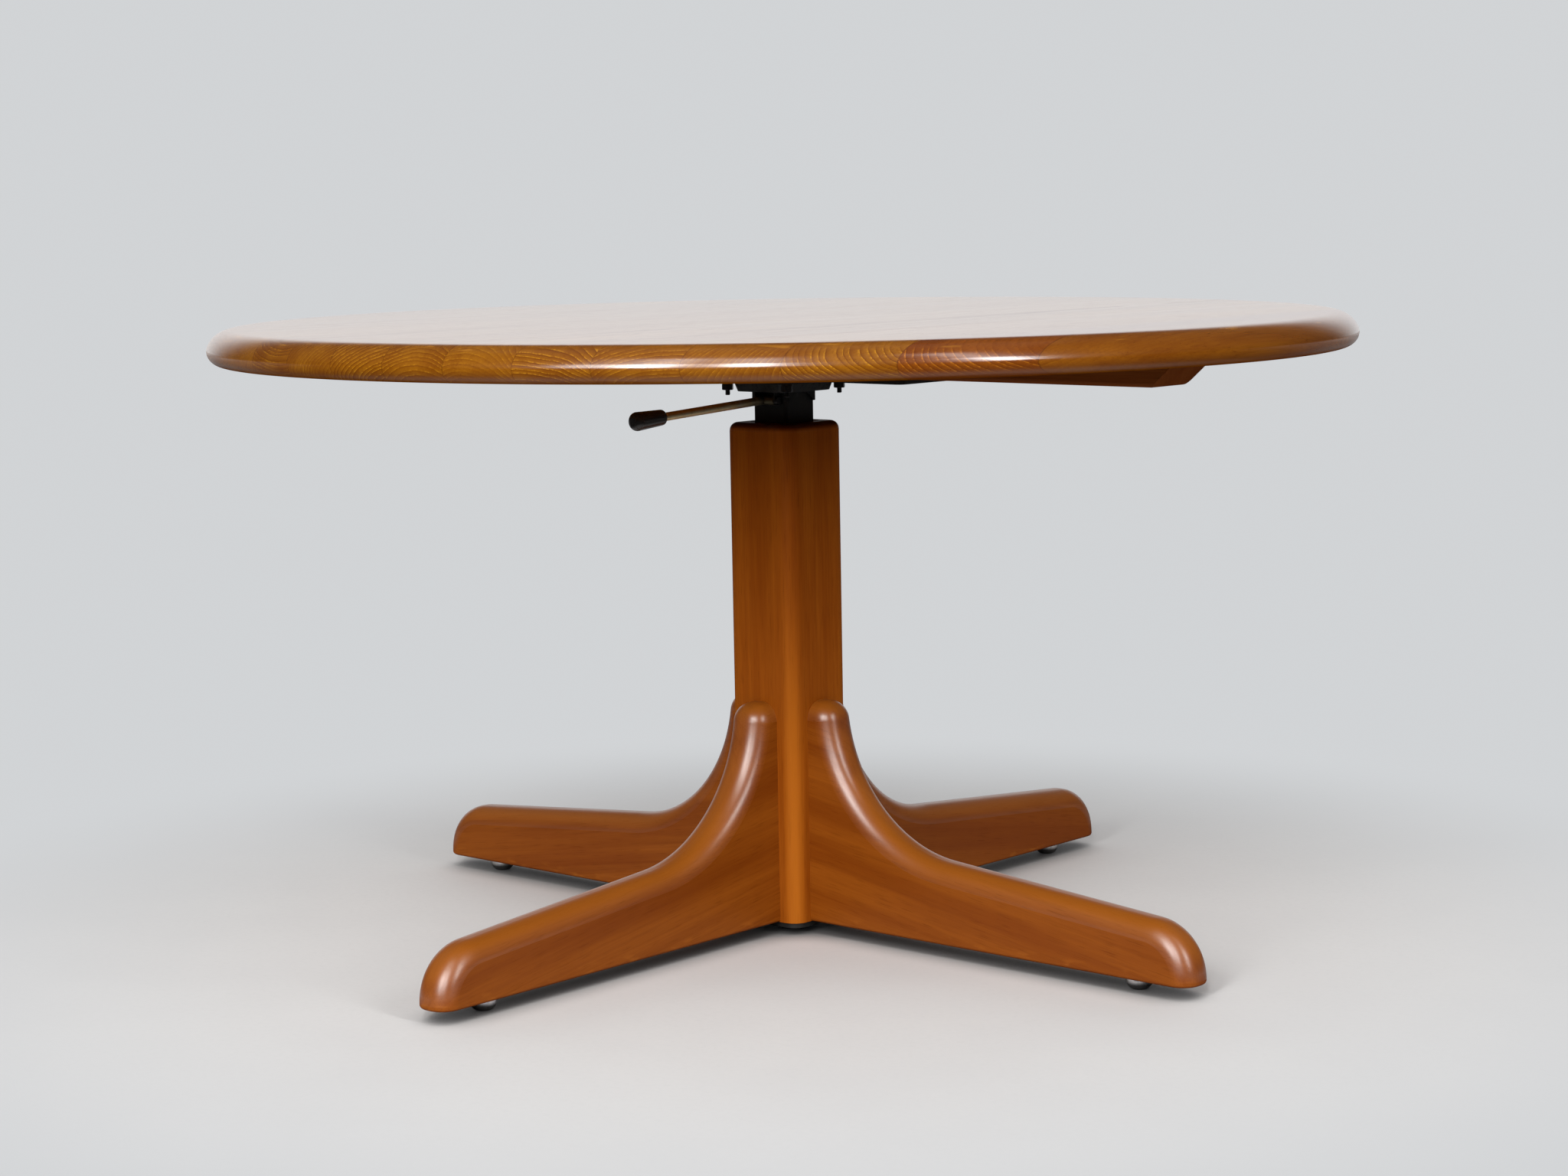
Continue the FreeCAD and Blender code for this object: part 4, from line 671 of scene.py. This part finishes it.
# Countersunk screws
SCREW_RADIUS = 2.25
SCREW_PITCH = 1.8
SCREW_PLAIN_SHARE = 0.3
SCREW_POINT = 5.0
SCREW_TIP_RADIUS = 0.15
SCREW_HEAD_RADIUS = 4.5
SCREW_HEAD_HEIGHT = 2.6
RECESS_REACH = 2.3
RECESS_HALF = 0.55
RECESS_DEPTH = 1.6
RECESS_TAPER = 0.45

# Rows of screws: name, body, node, height of the heads' faces, length and places
BATTEN_PLACES = [(x, 0.0) for x in (-408.0, -258.0, 258.0, 408.0)]
PLATE_PLACES = [(150.0 * x, 15.0 * y) for x, y in CORNERS]
BASE_PLACES = [(33.0 * x, 33.0 * y) for x, y in CORNERS]
SCREW_ROWS = (
    ("cross_screws_batten", "top", "batten_screws", 545.0, 36.0, BATTEN_PLACES),
    ("cross_screws_plate", "top", "plate_screws", 541.5, 20.0, PLATE_PLACES),
    ("cross_screws_base", "base", "base_screws", 7.0, 40.0, BASE_PLACES),
)


def hexagon_radius(angle, width):
    """Distance from a hexagon's middle to its side, with a corner at angle 0."""
    return width / 2 / math.cos(angle % (math.pi / 3) - math.pi / 6)


def chamfered_radius(angle, width, depth):
    """A hexagon whose corners are turned off at 30 degrees, at a depth below its face."""
    return min(hexagon_radius(angle, width), width * CHAMFER_SHARE + depth / CHAMFER_SLOPE)


def thread_radius(angle, height, radius, pitch):
    """Radius of a right-handed thread with blunt crests and roots."""
    phase = (height / pitch - angle / math.tau) % 1.0
    crest = min(1.0, max(0.0, abs(2 * phase - 1) * CREST_GAIN - CREST_SHIFT))
    return radius - THREAD_DEPTH * pitch * (1 - crest)


def ring(centre, height, radius_at, count=SEGMENTS):
    """Points around a centre, with a radius for each angle."""
    angles = [math.tau * index / count for index in range(count)]
    return [(centre[0] + radius_at(a) * math.cos(a), centre[1] + radius_at(a) * math.sin(a), height)
            for a in angles]


def round_ring(centre, height, radius, count=SEGMENTS):
    """Points on a circle."""
    return ring(centre, height, lambda a: radius, count)


def skin(mesh, rings, closed=False):
    """Faces between rings of equal length; closed joins the last ring to the first."""
    loops = [[mesh.verts.new(point) for point in points] for points in rings]
    pairs = list(zip(loops, loops[1:]))
    if closed:
        pairs.append((loops[-1], loops[0]))
    for one, two in pairs:
        for index in range(len(one)):
            after = (index + 1) % len(one)
            mesh.faces.new((one[index], one[after], two[after], two[index]))
    return loops


def add_turned_top(mesh):
    """The round top in fine even steps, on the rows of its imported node's rounded edge."""
    low, high = (corner[2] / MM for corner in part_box("table_top"))
    rows = {(round(math.hypot(*vertex.co.xy) / MM, 2), round(vertex.co.z / MM, 2))
            for vertex in NODES["table_top"].data.vertices}
    edge = sorted((row for row in rows if row[0] > FLAT_RADIUS),
                  key=lambda row: math.atan2(row[1] - (low + high) / 2, row[0] - FLAT_RADIUS))
    profile = [(INNER_RADIUS, low), (FLAT_RADIUS, low), *edge, (FLAT_RADIUS, high), (INNER_RADIUS, high)]
    rings = [round_ring((0.0, 0.0), height, radius, TOP_SEGMENTS) for radius, height in profile]
    loops = skin(mesh, rings)
    mesh.faces.new(loops[0])
    mesh.faces.new(loops[-1])


def threaded_rings(centre, start, end, radius, pitch):
    """Rings of a thread from one height to another."""
    count = max(2, round(abs(end - start) / pitch * THREAD_STEPS))
    heights = [start + (end - start) * index / count for index in range(count + 1)]
    return [ring(centre, h, lambda a, h=h: thread_radius(a, h, radius, pitch)) for h in heights]


def chamfered_rings(centre, face, inward):
    """Rings of a hexagon's turned-off corners, from its face inward, which is 1 up or -1 down."""
    return [ring(centre, face + inward * d, lambda a, d=d: chamfered_radius(a, BOLT_WIDTH, d))
            for d in CHAMFER_STEPS]


def add_bolt(mesh, centre):
    """A hexagon bolt, head up, with a thread down to its bevelled tip."""
    rings = chamfered_rings(centre, BOLT_FACE, -1)
    rings.append(ring(centre, BOLT_SEAT, lambda a: hexagon_radius(a, BOLT_WIDTH)))
    rings += [round_ring(centre, height, BOLT_RADIUS) for height in (BOLT_SEAT, BOLT_THREAD)]
    rings += threaded_rings(centre, BOLT_THREAD, BOLT_TIP + BOLT_BEVEL, BOLT_RADIUS, BOLT_PITCH)
    rings.append(round_ring(centre, BOLT_TIP, BOLT_RADIUS - BOLT_BEVEL))
    loops = skin(mesh, rings)
    mesh.faces.new(loops[0])
    mesh.faces.new(loops[-1])


def add_nut(mesh, centre):
    """A hexagon nut chamfered on both faces."""
    rings = chamfered_rings(centre, NUT_FOOT, 1) + chamfered_rings(centre, NUT_HEAD, -1)[::-1]
    for height, radius in (
            (NUT_HEAD, NUT_BORE + NUT_FLARE), (NUT_HEAD - NUT_FLARE_DEPTH, NUT_BORE),
            (NUT_FOOT + NUT_FLARE_DEPTH, NUT_BORE), (NUT_FOOT, NUT_BORE + NUT_FLARE)):
        rings.append(round_ring(centre, height, radius))
    skin(mesh, rings, closed=True)


def add_screw(mesh, centre, face, length):
    """A countersunk wood screw, head down, with a cross recess and a thread."""
    seat = face + SCREW_HEAD_HEIGHT
    thread = seat + length * SCREW_PLAIN_SHARE
    point = face + length
    rings = [round_ring(centre, face, SCREW_HEAD_RADIUS)]
    rings += [round_ring(centre, height, SCREW_RADIUS) for height in (seat, thread)]
    rings += threaded_rings(centre, thread, point - SCREW_POINT, SCREW_RADIUS, SCREW_PITCH)
    rings.append(round_ring(centre, point, SCREW_TIP_RADIUS))
    loops = skin(mesh, rings)
    mesh.faces.new(loops[-1])
    quarter = ((RECESS_HALF, RECESS_HALF), (RECESS_REACH, RECESS_HALF), (RECESS_REACH, -RECESS_HALF))
    outline = []
    for turn in range(4):
        for x, y in quarter:
            for _ in range(turn):
                x, y = y, -x
            outline.append((x, y))
    cross = skin(mesh, [
        [(centre[0] + x * share, centre[1] + y * share, face + depth) for x, y in outline]
        for share, depth in ((1.0, 0.0), (RECESS_TAPER, RECESS_DEPTH))])
    mesh.faces.new(cross[1])
    border = [mesh.edges.get((loop[index - 1], loop[index]))
              for loop in (loops[0], cross[0]) for index in range(len(loop))]
    bmesh.ops.triangle_fill(mesh, edges=border, use_beauty=True)


def add_piece(context, name, body, slot, mesh, material, *stands_for):
    """Link a mesh made in millimetres, let it ride on a body and stand for CAD nodes of its size."""
    bmesh.ops.recalc_face_normals(mesh, faces=mesh.faces)
    bmesh.ops.scale(mesh, vec=(MM, MM, MM), verts=mesh.verts)
    data = bpy.data.meshes.new(name)
    mesh.to_mesh(data)
    mesh.free()
    data.shade_smooth()
    data.set_sharp_from_angle(angle=SHARP_ANGLE)
    data.materials.append(material)
    piece = bpy.data.objects.new(name, data)
    context.scene.collection.objects.link(piece)
    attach(piece, body)
    for node in stands_for:
        low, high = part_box(node)
        for axis in range(3):
            reach = [vertex.co[axis] for vertex in data.vertices]
            if abs(min(reach) - low[axis]) > MM or abs(max(reach) - high[axis]) > MM:
                raise RuntimeError(f"{name} doesn't fit {node}")
        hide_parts(node)


# Operators, one for each piece or group of like pieces

class PEDESTAL_OT_table_top(bpy.types.Operator):
    """Turn the round top in fine steps and finish it as glued teak boards"""

    bl_idname = "pedestal.table_top"
    bl_label = "Table top"

    def execute(self, context):
        look = context.scene.pedestal_teak
        teak = lacquered_teak(
            "teak_top", look.top_colour, glued_boards, TOP_FIGURE, look, rim_wear, polish=0.2, index=1.85)
        dress(teak, "table_top")
        board = bmesh.new()
        add_turned_top(board)
        add_piece(context, "turned_top", "top", "teak_top", board, teak, "table_top")
        return {"FINISHED"}


class PEDESTAL_OT_batten(bpy.types.Operator):
    """Finish the batten under the top"""

    bl_idname = "pedestal.batten"
    bl_label = "Batten"

    def execute(self, context):
        look = context.scene.pedestal_teak
        teak = lacquered_teak("teak_batten", look.batten_colour, long_batten, BATTEN_FIGURE, look)
        dress(teak, "batten")
        return {"FINISHED"}


class PEDESTAL_OT_column(bpy.types.Operator):
    """Finish the square column"""

    bl_idname = "pedestal.column"
    bl_label = "Column"

    def execute(self, context):
        look = context.scene.pedestal_teak
        teak = lacquered_teak(
            "teak_column", look.column_colour, upright_block, COLUMN_FIGURE, look, corner_wear,
            painted_light=painted_corner_highlight)
        dress(teak, "column")
        return {"FINISHED"}


class PEDESTAL_OT_legs(bpy.types.Operator):
    """Finish the four swept legs and their dowels"""

    bl_idname = "pedestal.legs"
    bl_label = "Legs"

    def execute(self, context):
        look = context.scene.pedestal_teak
        teak = lacquered_teak(
            "teak_legs", look.leg_colour, leg_planks, LEG_FIGURE, look, sole_wear, polish=0.34,
            painted_light=painted_leg_top_light)
        dress(teak, "leg_right", "leg_back", "leg_left", "leg_front")
        dress(beech("beech_dowels", look.dowel_colour), "leg_dowels")
        return {"FINISHED"}


class PEDESTAL_OT_lift(bpy.types.Operator):
    """Finish the head plate, pan, tubes, bushes and base plate"""

    bl_idname = "pedestal.lift"
    bl_label = "Lift and tubes"

    def execute(self, context):
        look = context.scene.pedestal_metal
        dress(painted("black_paint", look.black_paint, roughness=0.45),
              "head_plate", "inner_tube", "guide_tube", "base_plate", "spring_bridge")
        dress(plated("dull_pressing", look.grey_pressing, roughness=0.52, dull=0.5),
              "lift_pan", "lever_bracket")
        dress(moulded("black_nylon", look.nylon, roughness=0.5),
              "upper_bush", "lower_bush", "spring_seat")
        return {"FINISHED"}


class PEDESTAL_OT_gas_spring(bpy.types.Operator):
    """Finish the locking gas spring inside the tubes"""

    bl_idname = "pedestal.gas_spring"
    bl_label = "Gas spring"

    def execute(self, context):
        look = context.scene.pedestal_metal
        dress(painted("spring_enamel", look.spring_enamel, roughness=0.3), "gas_cylinder")
        dress(plated("ground_rod", look.bright_rod, roughness=0.18, dull=0.08),
              "gas_rod", "release_pin")
        dress(plated("turned_steel", look.zinc, roughness=0.36, dull=0.3),
              "gas_piston", "rod_guide", "valve_body")
        dress(moulded("seal_rubber", look.rubber, roughness=0.75), "rod_seal")
        return {"FINISHED"}


class PEDESTAL_OT_lever(bpy.types.Operator):
    """Finish the lever rod, its grip, pivot pin and clip"""

    bl_idname = "pedestal.lever"
    bl_label = "Lever"

    def execute(self, context):
        look = context.scene.pedestal_metal
        # The lever rod's inner end gets painted shade near the pivot.
        rod = plated(
            "yellow_zinc", look.yellow_zinc, roughness=0.44, dull=0.18, tint=YELLOWISH_TINT, soil_and_shade=painted_hub_shade)
        dress(rod, "lever_arm")
        dress(moulded("grip_plastic", look.grip, roughness=0.22), "lever_grip")
        # The pivot pin: near-black steel as painted shade.
        dress(plated("pin_steel", look.steel_darkened_as_shade, roughness=0.4, dull=0.4),
              "lever_pin", "pin_clip")
        return {"FINISHED"}


class PEDESTAL_OT_fasteners(bpy.types.Operator):
    """Make the bolts, nuts and screws with their threads, and finish them and the washers"""

    bl_idname = "pedestal.fasteners"
    bl_label = "Fasteners"

    def execute(self, context):
        look = context.scene.pedestal_metal
        # Pan bolts, nuts and washers: near-black steel as painted shade under the top.
        dark = plated("steel_darkened_as_shade", look.steel_darkened_as_shade, roughness=0.45, dull=0.4)
        zinc = plated("dull_zinc", look.zinc, roughness=0.42, dull=0.6)
        dress(dark, "pan_bolts", "pan_nuts", "pan_washers")
        dress(zinc, "batten_screws", "plate_screws", "base_screws", "rod_nuts", "valve_nut")
        bolts, nuts = bmesh.new(), bmesh.new()
        for x, y in CORNERS:
            spot = (x * BOLT_OUT, y * BOLT_OUT)
            add_bolt(bolts, spot)
            add_nut(nuts, spot)
        add_piece(context, "threaded_bolts", "top", "zinc_steel", bolts, dark, "pan_bolts")
        add_piece(context, "chamfered_nuts", "top", "zinc_steel", nuts, dark, "pan_nuts")
        for name, body, node, face, length, places in SCREW_ROWS:
            screws = bmesh.new()
            for spot in places:
                add_screw(screws, spot, face, length)
            add_piece(context, name, body, "zinc_steel", screws, zinc, node)
        return {"FINISHED"}


class PEDESTAL_OT_glides(bpy.types.Operator):
    """Finish the four nickel glides"""

    bl_idname = "pedestal.glides"
    bl_label = "Glides"

    def execute(self, context):
        look = context.scene.pedestal_metal
        # Glides are darkened at their lower face: floor dirt and painted contact shade.
        dress(plated("worn_nickel", look.nickel, roughness=0.28, dull=0.4, soil_and_shade=glide_dirt_and_shade),
              "glide_right", "glide_back", "glide_left", "glide_front")
        return {"FINISHED"}


# Stage: camera, floor, background and lamps

# Camera: angles in radians, place in metres, sensor in millimetres
CAMERA_TURN = 0.845316
CAMERA_SIDE = 0.005504
CAMERA_BACK = 3.043258
CAMERA_HEIGHT = 0.717889
CAMERA_YAW = -0.0028
CAMERA_PITCH = 0.125057
CAMERA_ROLL = 0.017809
SENSOR_WIDTH = 36.0

# Floor: where it fades into the background, by distance from the axis and away from the camera
FLOOR_RADIUS = 9.0
FLOOR_SEGMENTS = 96
SEEN_FADE = (0.36, 1.1)
FULL_FADE = (0.9, 2.0)
NEAR_HORIZON = (0.0, 1.5)
FAR_HORIZON = (2.0, 5.0)
# Reach and samples of the painted contact shade on the floor under the legs and glides
PAINTED_SHADE_REACH = 0.05
PAINTED_SHADE_SAMPLES = 8

# Background, by how far a direction looks away from the camera or up
WALL_SPREAD = (0.72, 0.95)
WALL_TOP = (0.26, 0.46)
BACK_SPREAD = (0.0, 0.6)
BACK_RISE = (0.12, 0.5)

# Lamps: places and sizes in metres, and what share of a lamp's power the one above it has
AIM_HEIGHT = 0.45
CEILING_FRONT = 0.5
CEILING_HEIGHT = 2.7
CEILING_WIDTH = 2.6
LAMP_DISTANCE = 4.2
LAMP_HEIGHT = 2.25
LAMP_TALL = 2.2
HIGH_DISTANCE = 3.2
HIGH_HEIGHT = 4.0
HIGH_TALL = 1.8
HIGH_SHARE = 0.14


def plan(side, away, height=0.0):
    """A point given to the right of the axis and away from the camera, in the CAD frame."""
    sine, cosine = math.sin(CAMERA_TURN), math.cos(CAMERA_TURN)
    return Vector((side * sine - away * cosine, side * cosine + away * sine, height))


def add_camera(context, look):
    """The camera at the photograph's viewing angle."""
    reach = math.cos(CAMERA_PITCH)
    forward = plan(
        math.sin(CAMERA_YAW) * reach, math.cos(CAMERA_YAW) * reach, -math.sin(CAMERA_PITCH))
    level = plan(math.cos(CAMERA_YAW), -math.sin(CAMERA_YAW))
    upright = level.cross(forward)
    right = level * math.cos(CAMERA_ROLL) - upright * math.sin(CAMERA_ROLL)
    up = level * math.sin(CAMERA_ROLL) + upright * math.cos(CAMERA_ROLL)
    data = bpy.data.cameras.new("view_camera")
    data.sensor_fit = "HORIZONTAL"
    data.sensor_width = SENSOR_WIDTH
    data.lens = look.lens
    camera = bpy.data.objects.new("view_camera", data)
    turn = Matrix((right, up, -forward)).transposed().to_4x4()
    camera.matrix_world = Matrix.Translation(plan(CAMERA_SIDE, -CAMERA_BACK, CAMERA_HEIGHT)) @ turn
    context.scene.collection.objects.link(camera)
    context.scene.camera = camera


def add_lamp(context, name, spot, aim, width, height, power):
    """A soft rectangular lamp at a spot, turned to an aim."""
    data = bpy.data.lights.new(name, "AREA")
    data.shape = "RECTANGLE"
    data.size = width
    data.size_y = height
    data.energy = power
    lamp = bpy.data.objects.new(name, data)
    turn = (aim - spot).to_track_quat("-Z", "Y").to_matrix().to_4x4()
    lamp.matrix_world = Matrix.Translation(spot) @ turn
    context.scene.collection.objects.link(lamp)


def seen_directly(finish):
    """1 for rays from the camera, and for those in gloss or glass."""
    path = finish.node("ShaderNodeLightPath", out="Is Camera Ray")
    mirrored = finish.larger(path.sibling("Is Glossy Ray"), path.sibling("Is Transmission Ray"))
    return finish.larger(path, mirrored)


def floor_finish(look):
    """Pale floor with painted contact shade under the legs and glides, that fades into the background far
    out.
    """
    finish = new_finish("pale_floor")
    place = finish.place()
    x, y, _ = finish.parts(place)
    cloud = finish.noise(place * even(3.0), 5.0, 0.6)
    grit = finish.noise(place * even(160.0), 3.0)
    colour = look.floor_colour
    shade = finish.blend(finish.ramp(cloud, 0.25, 0.75), colour, scaled(colour, 0.95, 0.95, 0.955))
    shade = finish.blend(finish.ramp(grit, 0.4, 0.8) * 0.25, shade, scaled(colour, 0.88))
    # Painted contact shade: the floor darkened by ambient occlusion under the legs and glides.
    painted_contact_shade = finish.node(
        "ShaderNodeAmbientOcclusion", {"samples": PAINTED_SHADE_SAMPLES}, {"Distance": PAINTED_SHADE_REACH}, "AO")
    shade = finish.blend(finish.ramp(painted_contact_shade, 0.15, 0.9), scaled(colour, 0.12), shade)
    ground = finish.node("ShaderNodeBsdfPrincipled", None, {
        "Base Color": shade, "Roughness": 0.7, "Specular IOR Level": 0.2,
        "Normal": finish.bump(grit, 0.05, 0.0003)})
    camera_ray = finish.node("ShaderNodeLightPath", out="Is Camera Ray")
    away = finish.along(place, plan(0.0, 1.0))
    beyond = finish.ramp(away, *NEAR_HORIZON) * 0.4 + finish.ramp(away, *FAR_HORIZON) * 0.6
    horizon = finish.blend(finish.larger(camera_ray, beyond), look.dim_colour, look.backdrop_colour)
    glow = finish.node("ShaderNodeEmission", None, {"Color": horizon, "Strength": 1.0})
    radius = (x * x + y * y) ** 0.5
    seen = finish.ramp(radius, *SEEN_FADE) * seen_directly(finish)
    far = finish.larger(seen, finish.ramp(radius, *FULL_FADE))
    both = finish.node("ShaderNodeMixShader", None, {0: far, 1: ground, 2: glow})
    below = finish.node("ShaderNodeNewGeometry", out="Backfacing")
    clear = finish.node("ShaderNodeBsdfTransparent")
    surface = finish.node("ShaderNodeMixShader", None, {0: below, 1: both, 2: clear})
    finish.node("ShaderNodeOutputMaterial", None, {"Surface": surface})
    return finish.owner


def add_floor(context, look):
    """A round floor at the glides' feet."""
    mesh = bmesh.new()
    bmesh.ops.create_circle(mesh, cap_ends=True, segments=FLOOR_SEGMENTS, radius=FLOOR_RADIUS)
    data = bpy.data.meshes.new("floor")
    mesh.to_mesh(data)
    mesh.free()
    data.materials.append(floor_finish(look))
    floor = bpy.data.objects.new("floor", data)
    context.scene.collection.objects.link(floor)
    floor.location.z = CAD_BOX[0][2]


def set_world(context, look):
    """Soft room light, with a pale background for the camera and for gloss."""
    world = bpy.data.worlds.new("studio")
    context.scene.world = world
    finish = Finish(world)
    direction = finish.node("ShaderNodeTexCoord", out="Generated")
    away = finish.along(direction, plan(0.0, 1.0))
    up = finish.parts(direction)[2]
    wall = finish.ramp(away, *WALL_SPREAD) * (1 - finish.ramp(up, *WALL_TOP))
    path = finish.node("ShaderNodeLightPath", out="Is Camera Ray")
    mirrored = finish.blend(wall, look.dim_colour, look.mirror_colour)
    shown = finish.blend(path, mirrored, look.backdrop_colour)
    behind = finish.ramp(away, *BACK_SPREAD) * finish.ramp(up, *BACK_RISE)
    soft = finish.blend(behind, look.room_colour, look.back_colour)
    shade = finish.blend(seen_directly(finish), soft, shown)
    sky = finish.node("ShaderNodeBackground", None, {"Color": shade, "Strength": 1.0})
    finish.node("ShaderNodeOutputWorld", None, {"Surface": sky})


class PEDESTAL_OT_stage(bpy.types.Operator):
    """Set the camera, floor, background and lamps"""

    bl_idname = "pedestal.stage"
    bl_label = "Stage"

    def execute(self, context):
        look = context.scene.pedestal_stage
        context.scene.view_settings.view_transform = "Standard"
        add_camera(context, look)
        add_floor(context, look)
        set_world(context, look)
        aim = Vector((0.0, 0.0, AIM_HEIGHT))
        overhead = plan(0.0, -CEILING_FRONT, CEILING_HEIGHT)
        add_lamp(context, "ceiling_lamp", overhead, aim, CEILING_WIDTH, CEILING_WIDTH, look.ceiling_power)
        for name, angle, width, power in (
                ("outer_lamp", -36.0, 0.75, look.outer_power),
                ("left_lamp", -25.0, 0.6, look.left_power),
                ("middle_lamp", -6.0, 0.55, look.middle_power),
                ("right_lamp", 41.0, 0.5, look.right_power)):
            side, front = math.sin(math.radians(angle)), math.cos(math.radians(angle))
            spot = plan(LAMP_DISTANCE * side, -LAMP_DISTANCE * front, LAMP_HEIGHT)
            add_lamp(context, name, spot, aim, width, LAMP_TALL, power)
            spot = plan(HIGH_DISTANCE * side, -HIGH_DISTANCE * front, HIGH_HEIGHT)
            add_lamp(context, "high_" + name, spot, aim, width, HIGH_TALL, power * HIGH_SHARE)
        return {"FINISHED"}


# Panel and registration

PIECES = (
    PEDESTAL_OT_table_top, PEDESTAL_OT_batten, PEDESTAL_OT_column, PEDESTAL_OT_legs,
    PEDESTAL_OT_lift, PEDESTAL_OT_gas_spring, PEDESTAL_OT_lever, PEDESTAL_OT_fasteners,
    PEDESTAL_OT_glides, PEDESTAL_OT_stage)


class PEDESTAL_PT_panel(bpy.types.Panel):
    """Lists the pieces of the table and their settings"""

    bl_idname = "PEDESTAL_PT_panel"
    bl_label = "Pedestal Table"
    bl_space_type = "VIEW_3D"
    bl_region_type = "UI"
    bl_category = "Pedestal Table"

    def draw(self, context):
        layout = self.layout
        for setting in SETTINGS:
            group = getattr(context.scene, setting)
            box = layout.box()
            for name in type(group).__annotations__:
                box.prop(group, name)
        for operator in PIECES:
            layout.operator(operator.bl_idname)


SETTINGS = {
    "pedestal_teak": TeakSettings,
    "pedestal_metal": MetalSettings,
    "pedestal_stage": StageSettings,
}
CLASSES = (*SETTINGS.values(), *PIECES, PEDESTAL_PT_panel)


def register():
    """Make the settings, operators and panel known."""
    for kind in CLASSES:
        bpy.utils.register_class(kind)
    for name, kind in SETTINGS.items():
        setattr(bpy.types.Scene, name, bpy.props.PointerProperty(type=kind))


def unregister():
    """Take them away again."""
    for name in SETTINGS:
        delattr(bpy.types.Scene, name)
    for kind in reversed(CLASSES):
        bpy.utils.unregister_class(kind)


def main():
    """Register the settings and operators, and dress the table piece by piece."""
    register()
    for operator in PIECES:
        group, name = operator.bl_idname.split(".")
        getattr(getattr(bpy.ops, group), name)()


if __name__ == "__main__":
    main()
